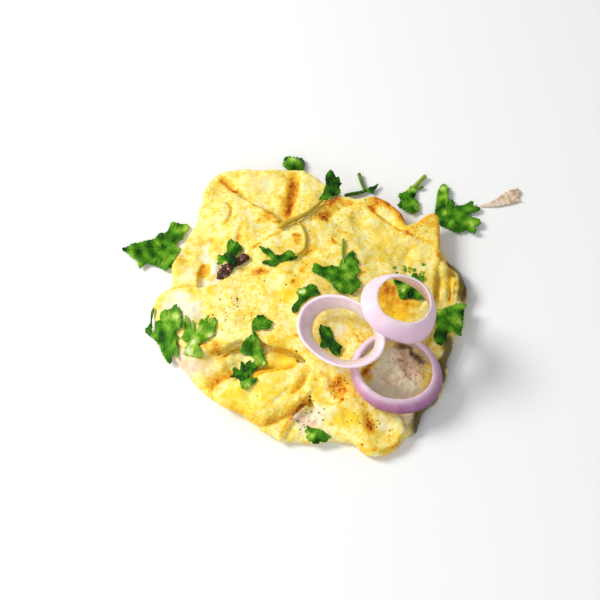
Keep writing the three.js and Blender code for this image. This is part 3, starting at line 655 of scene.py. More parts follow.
egg = remeshed("egg", sheet_skins + ridge_skins, voxel=VOXEL, smoothing=5)
at = points_of(egg)
facing = read_vectors(egg.data.vertex_normals, "vector")
relief = np.zeros(len(at))
for form, marks in RELIEF.items():
    for route, width, rise in marks:
        stroke(relief, at[:, 0], at[:, 1], route, width, rise, form)
crumbly = np.zeros(len(at))
for x, y, reach, steepness, strength in CRUMBLY_PLACES:
    across, along = np.abs((at[:, 0] - x) / reach), np.abs((at[:, 1] - y) / reach)
    crumbly += strength * np.exp(-(across**steepness) - along**steepness)
pucker = rippled(at, PUCKERS, seed=1) + crumbly * rippled(at, CRUMBS, seed=4)
off_table = np.interp(at[:, 2], FLAT_FOOT, (0, 1))
upward = np.interp(facing[:, 2], UPWARD, (0, 1))
at += facing * (pucker * off_table)[:, None]
at[:, 2] = np.maximum(at[:, 2] + relief * upward, 0)
egg.data.vertices.foreach_set("co", (at * MM).astype(np.float32).ravel())
egg.data.update()
shade_smooth(egg.data)
heights = HeightMap()
heights.add(at)
print("egg:", len(at), "vertices,", 2 * len(egg.data.polygons), "triangles")

# %% [markdown]
# ## Where the egg is toasted, yellow, pale, grey or dark
#
# The colour of an omelette follows its making. It browns where it touched the pan and along its
# creases, is yellow where the yolk is, and stays pale where only white set. Some of the colour is
# painted shade instead: all of the dark olive, some grey, and some toast in hollows, under the
# sprig's blade and on sides turned from the light. Five numbers at each vertex say how much of each
# there is, and the material turns them into colour with finer noise. The places are first shifted
# by ripples, so that no mark keeps a clean edge.

# %% Routes of toast and of painted shade: the route, half its width and its strength
TOASTED_AND_SHADED_LINES = [
    ([(-9.4, 92), (-9.9, 82), (-10.6, 72), (-12, 58)], 2.7, 0.56),  # back valley
    ([(-5, 92), (-6, 82), (-8.4, 70)], 0.7, 0.25),
    ([(-51, 89), (-45.5, 83.5), (-38.5, 77)], 2.2, 0.45),  # corner pleat
    ([(-44, 81), (-38.5, 76.6)], 1.3, 0.35),
    ([(-38.5, 76), (-30, 66), (-24, 62), (-18, 57.5), (-15.5, 53)], 0.9, 0.32),  # flap's edge
    ([(-48, 70), (-44.2, 67), (-43.2, 62), (-45, 56), (-48.5, 54)], 0.8, 0.4),  # curl
    ([(-37.5, 52), (-38.5, 46), (-39, 41)], 1.3, 0.38),  # down the flap
    ([(-61, 17), (-60.5, 23), (-59.2, 28), (-57.4, 30.4)], 0.8, 0.35),  # the mouth's left side
    ([(-55.4, 29.6), (-54.4, 26), (-54, 19)], 0.7, 0.4),  # its right side
    ([(-57.1, 31), (-57.2, 27.5), (-57.5, 22)], 1.9, 0.46),  # its top
    ([(-82, 14), (-70, 16), (-60, 16), (-50, 14)], 0.9, 0.2),  # back of the pillow
    ([(-34, 34), (-24.5, 41.5), (-15, 49)], 0.9, 0.42),  # centre's upper left edge
    ([(-46, -26), (-43, -23.5), (-40, -21.5), (-36, -19)], 0.8, 0.55),  # centre's front edge
    ([(-22, -20), (-19.5, -22), (-14, -22.5), (-9, -25.5), (-5, -29)], 0.6, 0.26),  # wrinkles
    ([(-17, -25), (-10, -28), (-4, -31)], 0.7, 0.25),
    ([(-44, -51), (-35.5, -56), (-27, -62.5)], 2.2, 0.3),  # lower edge of the yellow fold
    ([(54, 49), (42.5, 58), (32, 67)], 0.8, 0.4),  # rear lobe's crease
    ([(33, 74), (43, 71), (50, 64), (55, 53)], 3.4, 0.6),  # rear lobe's rim
    ([(59, 51), (65, 59), (71.5, 61), (72.5, 48), (71.5, 36)], 2.2, 0.4),  # round the tip
    ([(57.5, 48.5), (64, 45), (71, 42)], 1.0, 0.25),
    ([(70, 33), (69, 20), (67, 8)], 2.0, 0.2),  # first fold on the right
    ([(76.6, 30), (77.3, 20), (76, 8)], 0.9, 0.45),
    # Painted shade: the dark right rim, which is turned from the light, in the colour of toast.
    ([(78, 35.5), (83, 31), (85, 22), (83.5, 8)], 1.8, 0.95),
    ([(28.3, -57), (29.5, -64), (31, -71)], 2.6, 0.5),  # front lobe's dip
    ([(21, -73), (30, -77), (42, -75), (48, -68)], 1.1, 0.3),
]
# The slopes along the back valley, the end of the yellow fold and the front rolls are partly browning
# and partly painted shade, on the side of each that is turned from the light; the golden fold valley is
# the egg's own colour.
TOASTED_AND_SHADED_SLOPES = [
    (BACK_VALLEY, 5.2, 0.2),
    (FOLD_VALLEY, 4.6, 0.5),
    (FOLD_VALLEY, 0.9, 0.3),
    (SHORT_CREASE, 2.8, 0.5),
    (FOLD_END, 5, 0.58),
    ([(-27, -66), (-16, -61.5), (-10.5, -59.5), (-5.5, -56), (-1.5, -52.5), (0, -49.5)], 3.8, 0.34),
    ([(-12, -60), (-8, -58), (-4, -55), (-1, -52), (0, -49)], 2.4, 0.1),  # front roll, right half
    ([(-15, -71.5), (-13.5, -67.5), (-11.5, -63.5), (-8, -58.5), (-4.5, -55), (0, -52)], 1.2, 0.45),
]
# Painted shade: a dark olive along the edges on the side away from the light, between the folds on
# the right, and inside the front ring where the right ring shades the egg.
PAINTED_SHADE_LINES = [
    ([(73.5, 35.5), (79.5, 30.5), (83, 23), (83, 14.5), (80.5, 6)], 2.7, 1.25),
    ([(77.6, 29), (79.2, 20), (78, 9)], 0.9, 0.6),  # between the folds on the right
    ([(73.4, -10), (73.8, -19.5), (70.8, -26.5), (68.4, -34.8), (67, -43)], 3.6, 1.2),
    ([(66.5, -43.5), (61.8, -50.5), (56.5, -55.5), (55.2, -61.5), (51.6, -68.5)], 3.2, 1.2),
    ([(43, -22), (51, -21.5), (57, -25), (59.5, -30)], 2.4, 0.9),  # inside the front ring
]
print("toasted routes:", len(TOASTED_AND_SHADED_LINES) + len(TOASTED_AND_SHADED_SLOPES), "dark routes:", len(PAINTED_SHADE_LINES))

# %% Spots, which are round: x, y, radius and strength
SPOTS = {
    "toast_and_shade": [
        (21.5, 68.5, 2.4, 0.45), (7, 57.5, 2.8, 0.5), (10.5, 56.5, 2, 0.35), (19, 47.5, 1.8, 0.35),
        # (12, 69.5) and (16.5, 71) here, and (13.5, 68.5) further down, are painted shadow under the
        # sprig's raised blade.
        (13.5, 41.5, 1.5, 0.65), (12, 69.5, 3, 0.5), (16.5, 71, 2.6, 0.4), (-27, 20.5, 3.6, 0.42),
        (-23, 22.5, 2.2, 0.3), (-3.5, 21.5, 1.8, 0.5), (-8.5, 12.5, 1.6, 0.75), (-10.5, 19, 1.8, 0.42),
        (-6.5, 41.5, 2.4, 0.45), (-16, 35.5, 2.2, 0.38), (-23.5, 59.5, 2.8, 0.4), (-19, 54.8, 1.4, 0.6),
        (-27, 56, 2.2, 0.3), (-66, 37.5, 3, 0.32), (-70.5, 33, 2.6, 0.3), (-55, 45, 3, 0.35),
        (-51, 40, 2.4, 0.35), (36.5, 66.5, 2.6, 0.42), (38, 70, 2, 0.3), (55, 49.5, 1.9, 0.55),
        (26, -74, 0.8, 0.6), (40.5, -66.5, 0.7, 0.6), (11, -63.5, 0.8, 0.6), (14, -43, 3.2, 0.25),
        (18.5, -47, 2.8, 0.4), (10, -47, 2.4, 0.25), (15, -53, 1.1, 0.55), (17, -51, 1.2, 0.9),
        (10, -53.5, 0.9, 0.5), (24.5, -18, 1.4, 0.55), (27, -14, 1.2, 0.3), (18, -26, 2, 0.3),
        (36, -4, 5, 0.35), (44, -10, 9, 0.22), (50, -14, 4, 0.25), (40, -13, 1.4, 0.3),
        (-19, -21.5, 3, 0.1), (-49, -22, 3.4, 0.35), (-57, -21, 2.6, 0.3), (30, -34.5, 3.2, 0.6),
        (28, -37, 2, 0.4), (68, 55, 2.2, 0.25), (65, 52, 2, 0.2), (1, 34, 4, 0.25), (29, 21, 1.6, 0.4),
        (30, 27, 1.6, 0.3), (-62.5, -34.5, 1.8, 0.35), (-13.5, 7, 4, 0.22), (-29.5, -0.5, 1.1, 0.6),
        (-31.5, -5, 1.2, 0.6), (-28, 20, 3.4, 0.3), (-6.5, -16, 1.1, 0.6), (1.5, 56, 1, 0.6),
        (-7, 44.5, 1.1, 0.55), (13, 44, 1.2, 0.4), (7.5, 60.5, 3.2, 0.45), (13.5, 68.5, 3, 0.4),
        (-1.8, -52.3, 1.3, 0.4), (29.5, -65.5, 1.8, 0.35), (15, -44.5, 3.6, 0.35),
        (13.5, -48.5, 1.4, 0.55), (36.5, 66.5, 2, 0.3), (20, -49, 1.6, 0.3), (31.5, -69.5, 1.4, 0.35),
        (45, 4, 9, 0.3), (42, 13, 4.5, 0.5), (53, 3, 3, 0.3), (72, 35, 2.4, 0.4), (76, 32, 1.8, 0.7),
    ],
    "yellow": [
        (-28, -48, 12, 0.75), (-14, -44, 9, 0.5), (-40, -48, 6, 0.5), (49, 33.5, 8, 0.45),
        (38, 44, 9, 0.5), (58, 28, 6, 0.35), (-1, 72, 3, 0.6), (-60, 10, 4, 0.8), (-53, 9.5, 4, 0.7),
        (-15, -29, 9, 1), (15.5, -61.5, 4.5, 0.8), (24, -64, 5, 0.5), (36, -70, 5, 0.45),
        (8, -42, 5, 0.15), (-40, 2, 12, 0.3), (-12, 24, 12, 0.35), (-2, 14, 8, 0.3), (-31, 62, 5, 0.4),
        (-35, 46, 5, 0.3), (75, 20, 6, 0.7), (81, 18, 5, 0.6), (44, -8, 14, 0.8), (-50, 44, 6, 0.4),
        (18, -48, 7, 0.15), (26, 55, 8, 0.2), (-5, 8, 5, 0.35), (20, -10, 6, 0.3), (-24, 8, 8, 0.2),
        (-13.5, 7, 5, 0.9), (-19.5, 0, 4, 0.7), (4, -46, 6, 0.8), (22, -56, 5, 0.6), (6, -54, 4, 0.5),
        (-8, 77, 5, 0.5),
    ],
    "pale": [
        (-72, 4, 8, 0.9), (-66, -3, 8, 0.7), (-50.4, 26, 2.4, 1), (-50.6, 20, 2.8, 1.3),
        (-57.2, 17, 2.6, 1.3), (-57.3, 20.5, 2.2, 0.9), (-57.5, 34.5, 2.6, 1), (-57, 39, 2.6, 0.8),
        (-55.5, 44, 2.4, 0.4), (-66, 22, 5, 0.6), (-63.5, 28, 3, 0.4), (-60, 1, 5, 0.6),
        (-51.5, 29, 2, 0.9), (-52.5, 32, 2, 0.6), (-69, -27, 7, 1), (-62, -32, 5, 0.7),
        (-52, -31, 6, 0.45), (-3, -62, 6, 0.9), (3, -58, 5, 0.85), (8, -68, 5, 0.6), (17, -13, 4, 0.7),
        (14, -24, 3, 0.4), (44, -34, 10, 1), (52, -26, 8, 0.9), (50, -60, 4, 0.6), (45, -42, 11, 1.2),
        (47.5, -65.5, 1.6, 0.8), (-30, 82, 9, 0.35), (-22, 86, 6, 0.3), (-48, 60, 5, 0.4),
        (32, 33, 8, 0.12), (-10, -6, 6, 0.22), (45, 63, 4, 0.3), (4, 84, 5, 0.3), (8, -44, 4, 0.4),
        (20, -33, 5, 0.5), (-4, -14, 6, 0.35), (6, 44, 5, 0.3), (12, -58, 4, 0.5), (38, -64, 4, 0.6),
        (31, -46, 4, 0.5), (-38, -12, 8, 0.3), (-14, 64, 4, 0.3), (-40, 20, 4, 0.4), (-62, 72, 6, 0.3),
    ],
    "grey": [
        # Partly the egg's own grey-beige set white, and partly painted shade: the spots near (48 to 60,
        # -20 to -30) under the right ring, near (52 to 57, -60 to -65) beyond the front ring, and near
        # (70 to 85, -18 to 20) on the right side, away from the light.
        (52, -25, 6, 0.4), (58, -30, 6, 0.45), (48, -22, 4, 0.3), (-56, -30, 5, 0.2), (60, -20, 5, 0.6),
        (40, -42, 3, 0.2), (53.5, -65, 4.4, 1.1), (57, -60, 4, 0.8), (85, 20, 3, 0.7), (70, -18, 5, 0.4),
        (74, -14, 4, 0.5), (-6, -58, 2.5, 0.3), (2, -63, 5, 0.3), (84, 8, 3, 0.4), (-69, -27, 7, 0.3),
        (44, -38, 12, 0.12), (52, -61, 4, 0.2), (-3, -58, 5, 0.15), (-8, -60, 3, 0.3),
        (-10, -66, 3.4, 0.35), (-57, 20, 4, 0.1), (-62, -32, 6, 0.25),
    ],
}


def spots(places, x, y):
    """The sum of round bell curves, each as high as its strength at its middle."""
    total = np.zeros(len(x))
    for px, py, radius, strength in places:
        total += strength * np.exp(-((x - px) ** 2 + (y - py) ** 2) / radius**2)
    return total


print("spots:", {name: len(places) for name, places in SPOTS.items()})

# %% The five numbers kept for the material
SHIFT = 0.9  # how far a place moves before its spots are looked up, in millimetres
LINE_SHARE = 0.3  # a route keeps its shape better, so its places move less

shift = np.stack([ripples(at, 7, seed=11), ripples(at, 7, seed=12)], axis=1) * SHIFT
mark_x, mark_y = (at[:, :2] + shift).T
line_x, line_y = (at[:, :2] + LINE_SHARE * shift).T
amounts = {name: spots(places, mark_x, mark_y) for name, places in SPOTS.items()}
amounts["dark"] = np.zeros(len(at))
for name, lines in (("toast_and_shade", TOASTED_AND_SHADED_LINES), ("dark", PAINTED_SHADE_LINES)):
    for route, width, strength in lines:
        stroke(amounts[name], line_x, line_y, route, width, strength)
for route, width, strength in TOASTED_AND_SHADED_SLOPES:
    stroke(amounts["toast_and_shade"], at[:, 0], at[:, 1], route, width, strength, "slope")
amounts["pale"] *= np.clip(1.1 - amounts["toast_and_shade"], 0, 1)  # what is toasted isn't pale
for name, values in amounts.items():
    put_attribute(egg, name, values)
print("toasted share of the egg:", round(float((amounts["toast_and_shade"] > 0.3).mean()), 3))

# %% [markdown]
# ## Materials as sums
#
# A material is a small network of nodes. Written as Python sums it can be read: `Signal` wraps one
# socket, and each sum or product of signals adds the Math node that works it out. Colours go
# through Mix nodes, because a Math node would turn them grey.

# %% Colours
def rgb(code):
    """A colour written as six hexadecimal digits, as the linear values that Blender works in."""
    parts = np.array([int(code[k : k + 2], 16) for k in (0, 2, 4)]) / 255
    linear = np.where(parts > 0.04045, ((parts + 0.055) / 1.055) ** 2.4, parts / 12.92)
    return (*linear.tolist(), 1.0)

# %% Signals: sockets that can be added, subtracted and multiplied
class Signal:
    """One socket of a material."""

    def __init__(self, finish, socket):
        self.finish, self.socket = finish, socket

    def math(self, operation, *values):
        """A Math node that takes these values in their order."""
        return self.finish.node("Math", dict(enumerate(values)), operation=operation)

    def __add__(self, other):
        return self.math("ADD", self, other)

    def __sub__(self, other):
        return self.math("SUBTRACT", self, other)

    def __rsub__(self, other):
        return self.math("SUBTRACT", other, self)

    def __mul__(self, other):
        return self.math("MULTIPLY", self, other)

    __radd__, __rmul__ = __add__, __mul__

    def between(self, low, high, start=0.0, end=1.0):
        """Runs smoothly from `start` at the value low to `end` at the value high."""
        inputs = {0: self, 1: low, 2: high, 3: start, 4: end}
        return self.finish.node("MapRange", inputs, interpolation_type="SMOOTHSTEP")

# %% Finishes: materials made of signals
class Finish:
    """A material with one Principled shader. A colour may be given as its six digits."""

    def __init__(self, name):
        self.material = bpy.data.materials.new(name)
        self.material.use_nodes = True
        self.tree = self.material.node_tree
        self.tree.nodes.clear()
        self.place = self.node("TexCoord", output="Object")

    def node(self, kind, inputs=None, output=0, stops=None, **settings):
        """Adds a node. Its settings and the stops of a ramp come first, and then the values or
        links of its inputs."""
        made = self.tree.nodes.new("ShaderNode" + kind)
        for setting, value in settings.items():
            setattr(made, setting, value)
        if stops:
            for extra in range(2, len(stops)):
                made.color_ramp.elements.new(extra / 10)
            for element, (position, code) in zip(made.color_ramp.elements, stops.items()):
                element.position, element.color = position, rgb(code)
        for socket, value in (inputs or {}).items():
            if isinstance(value, Signal):
                self.tree.links.new(value.socket, made.inputs[socket])
            else:
                made.inputs[socket].default_value = rgb(value) if isinstance(value, str) else value
        return Signal(self, made.outputs[output]) if len(made.outputs) else None

    def noise(self, size, detail=3, roughness=0.55, distortion=0.0):
        """Soft noise, from 0 to 1, with grains of about `size` millimetres."""
        inputs = {"Vector": self.place, "Scale": 1 / (size * MM), "Detail": detail}
        return self.node("TexNoise", {**inputs, "Roughness": roughness, "Distortion": distortion})

    def kept(self, name):
        """A number kept at each vertex."""
        return self.node("Attribute", output="Fac", attribute_name=name)

    def ramp(self, factor, stops):
        """The colour at `factor` among stops given by their positions."""
        return self.node("ValToRGB", {"Fac": factor}, stops=stops)

    def mix(self, factor, a, b):
        return self.node("Mix", {0: factor, 6: a, 7: b}, output=2, data_type="RGBA")

    def bump(self, height, distance, strength=1.0):
        inputs = {"Height": height, "Distance": distance * MM, "Strength": strength}
        return self.node("Bump", inputs, output="Normal")

    def shader(self, **inputs):
        """The Principled shader with these inputs, to the material's surface."""
        named = {key.replace("_", " "): value for key, value in inputs.items()}
        self.node("OutputMaterial", {"Surface": self.node("BsdfPrincipled", named)})
        return self.material

# %% [markdown]
# ## Cooked egg
#
# Egg that has set in a pan is cream to yellow, with a fine mottle where it touched the metal. Where
# it browns it goes through gold and orange to a dark freckle. One number, from raw to burnt, runs
# through a ramp of those colours; in some hollows and on sides turned from the light it is painted
# shade in those colours. Noise of four sizes moves it up and down, so that the browning breaks up
# into grains. Grey, partly the egg's own and partly painted shade, and a dark olive that is painted
# shade are mixed in last. The surface is a little greasy, so its gloss is uneven too.

# %% Dress a piece
def dress(thing, material, *nodes, slot):
    """Gives a piece its material, its body and the solids that it stands for. Its slot is not used."""
    thing.data.materials.clear()
    thing.data.materials.append(material)
    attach(thing, "root")
    if nodes:
        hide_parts(*nodes)
    print(thing.name, "stands for", ", ".join(nodes) or "nothing else")

# %% The finish of the egg
FRECKLES = 3.1  # between one freckle and the next, in millimetres


def egg_finish():
    look = Finish("cooked_egg")
    cloud = look.noise(11, detail=2)
    blotch = look.noise(4.2, detail=3, roughness=0.6, distortion=0.4)
    mottle = look.noise(1.7, detail=3, roughness=0.6)
    grain = look.noise(0.7, detail=2)
    kept = look.kept
    uneven = (blotch - 0.5) * 0.75 + (mottle - 0.5) * 0.7 + (grain - 0.5) * 0.45
    # This number also holds painted shade in some hollows and on sides turned from the light, so those
    # come out in the same browns.
    browning_and_shade = kept("toast_and_shade") * (mottle * 0.4 + 0.75) + uneven + (cloud - 0.5) * 0.4 + 0.14
    browned_and_shaded = look.ramp(
        browning_and_shade,
        {
            0.0: "fff3b2", 0.12: "ffe980", 0.28: "f8d34a", 0.45: "f2b62f", 0.62: "e08f1c",
            0.8: "ba640c", 1.0: "7d3a08",
        },
    )
    yolk = kept("yellow") + (cloud - 0.5) * 0.8 + (blotch - 0.5) * 1.0
    yolky = look.mix(yolk.between(0.12, 1.0, 0, 0.8), browned_and_shaded, "fbd31e")
    golden = look.mix(kept("toast_and_shade").between(0.1, 0.9, 0, 0.75), yolky, browned_and_shaded)
    dull = kept("grey") + (blotch - 0.5) * 0.6 + (mottle - 0.5) * 0.4
    white = kept("pale") + (blotch - 0.5) * 0.7 + (mottle - 0.5) * 0.5
    set_white = look.mix(kept("grey").between(0.02, 0.3), "faf3d6", "f2d5b8")
    paled = look.mix(white.between(0.2, 0.8, 0, 0.9), golden, set_white)
    # Grey is partly the egg's own grey-beige set white and partly painted shade near the rings and on
    # the right side.
    greyed = look.mix(dull.between(0.25, 1.0, 0, 0.7), paled, "948466")
    # The dark olive is painted shade, along the side away from the light and under the right ring.
    dark = kept("dark") + (blotch - 0.5) * 0.9
    darkened = look.mix(dark.between(0.2, 0.95, 0, 0.88), greyed, "4a4018")
    from_freckle = look.node("TexVoronoi", {"Vector": look.place, "Scale": 1 / (FRECKLES * MM)})
    freckle = from_freckle.between(0.05, 0.13, 1, 0) * (cloud + browning_and_shade).between(0.5, 1.1)
    colour = look.mix(freckle * 0.55, darkened, "8c4a17")
    relief = blotch * 0.3 + mottle * 0.55 + grain * 0.3
    return look.shader(
        Base_Color=colour,
        Roughness=blotch.between(0.3, 0.7, 0.34, 0.58),
        Normal=look.bump(relief, 0.5, 0.8),
        IOR=1.4,
        Specular_IOR_Level=0.3,
        Subsurface_Weight=0.12,
        Subsurface_Radius=(1.0, 0.7, 0.3),
        Subsurface_Scale=1.2 * MM,
    )


dress(egg, egg_finish(), "omelette", slot="egg")

# %% [markdown]
# ## Pepper, paprika and bits of herb
#
# Specks are made as meshes at their true size, because each one catches light and throws a small
# shadow. One uneven ball is worked out once. All specks of a kind are then copies of it in one
# array, each turned, stretched and set half sunk into what lies below its place. The places seen
# in the photo are listed, and more are drawn at random round them.

# %% Places of specks: those seen, then patches to fill as x, y, reach and count
PEPPER = [
    (-51, -3.5), (-44, -3), (-44.5, -6), (-38.5, 5.5), (-38.5, 2.5), (-34, -4.5), (-26.5, 8), (-7, -26),
    (-6.5, -28.5), (-43.5, -5), (-44, -7), (-38.5, 4), (-38, 0.5), (-34.5, -6), (-47.5, 5.5),
    (-12.5, 12), (-24, 15.5), (-6.5, -29), (-6, -31.5), (0, -50), (2, -52), (1, -55.5), (4.5, -57.5),
    (-0.5, -60.5), (-5, -65), (6.5, -60.5), (30.5, -66.5), (26, -74), (40.5, -66.5),
]
PEPPER_PATCHES = [
    (-2, -59, 5, 24), (-1, -40, 7, 8), (6, -50, 6, 10), (24, -60, 7, 12), (34, -64, 5, 8),
    (-40, 0, 9, 10), (-6, 30, 14, 22), (8, 58, 8, 14), (20, 62, 9, 12), (45, -30, 8, 20),
    (-20, -20, 8, 8), (-28, -44, 7, 5), (18, 46, 9, 10), (-46, 60, 9, 8), (-62, -2, 7, 6),
    (62, 52, 6, 10), (40, -6, 9, 10),
]
PAPRIKA_PATCHES = [
    (15, -44, 3.4, 34), (14, -51, 3, 12), (30, -65, 2, 18), (38, -8, 6, 12), (30, -36, 3, 12),
    (-48, -22, 4, 8), (-28, 20, 3, 10), (53, 50, 2.5, 10), (7, 60, 3, 10), (36, 67, 2.5, 8),
    (54, -36, 5, 10),
]
HERB_PATCHES = [
    (46.5, 25.5, 1.4, 3), (51, 26, 1.6, 6), (56, 25.5, 1.6, 6), (60, 22.5, 1.4, 5), (61.5, 29.5, 0.6, 2),
]
print("grains of pepper seen:", len(PEPPER))

# %% Places drawn at random
def scattered(seen, patches, seed):
    """The places seen and, for each patch, `count` places with a normal spread of 0.6 `reach`."""
    draw = np.random.default_rng(seed)
    drawn = [(x, y) + draw.normal(size=(count, 2)) * reach * 0.6 for x, y, reach, count in patches]
    return np.vstack([np.reshape(seen, (-1, 2)), *drawn])

# %% Copies of one uneven ball
BALL_RINGS, BALL_AROUND = 5, 8
SUNK = 0.1  # how deep the middle of a speck lies in what it is on, in millimetres


def specks(name, places, radius, flatness, seed):
    """A unit ball whose points move in or out by ripples. Copy k is stretched by its own sizes,
    turned about the vertical, and set at its place on the height map."""
    draw = np.random.default_rng(seed)
    polar = np.linspace(0, np.pi, BALL_RINGS + 2)[1:-1, None]
    turn = np.linspace(0, 2 * np.pi, BALL_AROUND, endpoint=False)[None]
    level, upright = np.sin(polar), np.cos(polar) + 0 * turn
    ball = np.stack([level * np.cos(turn), level * np.sin(turn), upright], axis=-1)
    ball *= 1 + 0.16 * ripples(ball, 1.1, seed)[..., None]
    vertices, faces = closed_skin(ball, (0, 0, 1), (0, 0, -1))
    count = len(places)
    sizes = radius * draw.uniform(0.5, 1.5, (count, 1, 3)) * (1, 1, flatness)
    stretched = vertices[None] * sizes
    turned = draw.uniform(0, 2 * np.pi, (count, 1))
    cos, sin = np.cos(turned), np.sin(turned)
    x = stretched[..., 0] * cos - stretched[..., 1] * sin + places[:, :1]
    y = stretched[..., 0] * sin + stretched[..., 1] * cos + places[:, 1:]
    z = stretched[..., 2] + heights.surface(*places.T)[:, None] - SUNK
    copies = np.stack([x, y, z], axis=-1)
    print(name, "copies:", count)
    return make_mesh(name, *merged([(copy, faces) for copy in copies]))

# %% Pepper, paprika and herb
def speck_finish(name, dark, light):
    """Two tones of one colour, broken up by noise of about a speck's size."""
    look = Finish(name)
    colour = look.mix(look.noise(1.5, detail=1).between(0.35, 0.65), dark, light)
    return look.shader(Base_Color=colour, Roughness=0.6, IOR=1.45, Specular_IOR_Level=0.2)


grains = scattered(PEPPER, PEPPER_PATCHES, seed=51)
seen = np.arange(len(grains)) < len(PEPPER)
radii = np.where(seen, 0.5, 0.33)[:, None, None]  # the grains seen are the coarse ones
pepper = specks("pepper_grains", grains, radius=radii, flatness=0.6, seed=52)
dress(pepper, speck_finish("black_pepper", "3a2210", "74502c"), slot="egg")
flakes = scattered([], PAPRIKA_PATCHES, seed=53)
paprika = specks("paprika_flakes", flakes, radius=0.34, flatness=0.5, seed=54)
dress(paprika, speck_finish("paprika", "a8320a", "d8741c"), slot="egg")
shreds = scattered([], HERB_PATCHES, seed=55)
herbs = specks("herb_bits", shreds, radius=0.9, flatness=0.4, seed=56)
dress(herbs, speck_finish("chopped_herb", "5a8c1c", "a8bf50"), slot="coriander")

# %% [markdown]
# ## Coriander leaves
#
# A coriander leaflet is a thin blade, cut into lobes with rounded teeth, that opens from the end of
# its stalk. Each blade is given by its edge, traced from tooth to tooth counterclockwise, and by a
# middle from which all of its edge can be seen. Lines from the middle to the edge then carry rings of
# points. The blade lies on whatever is below it, bridges small dips, and swells between its veins.
# Both faces are closed by a thin rim, because a sheet without thickness shows no edge.

# %% The blades: edge, middle, root of the veins and their tips, x and y in millimetres
BLADES = {}


def blade(node, **shape):
    """Adds a blade to those of its node. Where nothing else is given, it lies on the food, isn't
    domed and has teeth."""
    plain = dict(level=0, dome=0, on_table=False, smooth=False)
    BLADES.setdefault(node, []).append({**plain, **shape})


blade(
    "coriander_left", middle=(-82, 46), root=(-71, 46), tone=0.42, level=0.9, wave=1.5, on_table=True,
    tips=[(-70, 60), (-78, 62), (-88, 55), (-103, 45), (-94, 34), (-80, 32.5), (-76.5, 35)],
    edge=[
        (-67.8, 61.5), (-70, 62.8), (-73, 62.4), (-76, 63.6), (-78.4, 62.8), (-78.9, 60), (-80.8, 57.2),
        (-83.4, 57.2), (-85.2, 55.6), (-87, 53.4), (-90.6, 51.4), (-94, 50.2), (-98, 49.2), (-101, 47.2),
        (-104.6, 45), (-103, 43), (-100, 40.6), (-98, 38.8), (-95.8, 37.6), (-95, 34.6), (-93.8, 33),
        (-92.6, 34.4), (-92.2, 36.6), (-88, 35.8), (-84.4, 35), (-82, 33.2), (-79.4, 31.8), (-77, 32.8),
        (-76, 35.4), (-74.6, 39.6), (-73.4, 43), (-72, 46.4), (-74, 47.8), (-75, 49.8), (-73.4, 52.2),
        (-71, 52.6), (-70.6, 55), (-69.8, 57.6), (-68, 59.2),
    ],
)
blade(
    "coriander_back", middle=(-8.6, 104.6), root=(-8, 99), tone=0.45, level=1.2, wave=0.3, dome=4.2,
    on_table=True,
    tips=[(-3, 102.5), (-3.5, 108.5), (-12.4, 110), (-14.6, 104.5)],
    edge=[
        (-3.4, 100), (-2.2, 104), (-2.8, 108.2), (-5, 109.9), (-9, 110.2), (-12.4, 110.8),
        (-14.4, 109.4), (-14.6, 107), (-15.1, 104.8), (-13.8, 102.8), (-12, 101.4), (-10.4, 99.6),
        (-7, 98.6),
    ],
)
blade(
    "coriander_stalks", middle=(36.6, 86.8), root=(32, 86.2), tone=0.2, level=1.2, wave=0.5,
    on_table=True,
    tips=[(40, 90.3), (37, 84)],
    edge=[
        (40.4, 90.8), (38, 89.4), (35.6, 88.6), (33, 87.4), (31.6, 86.4), (33.4, 85.6), (35.6, 85.4),
        (36.6, 83.8), (37.6, 84.2), (38.2, 86.2), (39.6, 88),
    ],
)
blade(
    "coriander_back_right", middle=(57.4, 78.4), root=(61.8, 89), tone=0.42, level=0.6, wave=1.5,
    on_table=True,
    tips=[(52, 83), (51.2, 75.2), (58.2, 69.6), (63.4, 74)],
    edge=[
        (63.6, 74), (63.4, 77.4), (62.4, 79.8), (60.8, 80.2), (61.8, 83), (62.6, 86), (63.2, 88.6),
        (61.8, 90.4), (59.6, 89.2), (57, 87), (54.4, 84.8), (52.4, 84), (51.6, 81.8), (52.9, 79.6),
        (52.2, 77.2), (50.8, 75.2), (52, 73), (54.4, 72), (56.2, 70.8), (58.2, 69.2), (60.2, 70.2),
        (62.6, 71.4),
    ],
)
blade(
    "coriander_far_right", middle=(79, 70), root=(72.4, 68), tone=0.42, level=0.6, wave=1.4,
    on_table=True,
    tips=[(78, 89.6), (83.6, 78), (94.4, 77.8), (98, 73.6), (97, 63.6), (93.8, 56.4), (84, 57.4)],
    edge=[
        (98.4, 74), (97, 75.4), (94.6, 75.6), (95, 77.6), (94, 78.6), (91, 76.6), (87.4, 75.8),
        (84.6, 75.4), (83, 75.6), (84.4, 77.4), (82.8, 79), (80.6, 80), (80.9, 84.4), (81.4, 87),
        (80.4, 88), (80, 90.2), (77, 90.6), (75.2, 86.6), (74, 82), (73, 75), (71.8, 69.6), (72.2, 66.6),
        (74, 62.8), (78, 60.6), (81, 58.2), (84.2, 57), (87, 57.6), (88.8, 58.4), (91.4, 56.4),
        (93.8, 55.6), (94.6, 57.4), (94, 60.2), (96.2, 60.8), (97.8, 63), (97, 65.6), (94.8, 67.2),
        (92.2, 67.4), (91, 68.8), (92, 70), (95, 70.6), (97.4, 71.6),
    ],
)
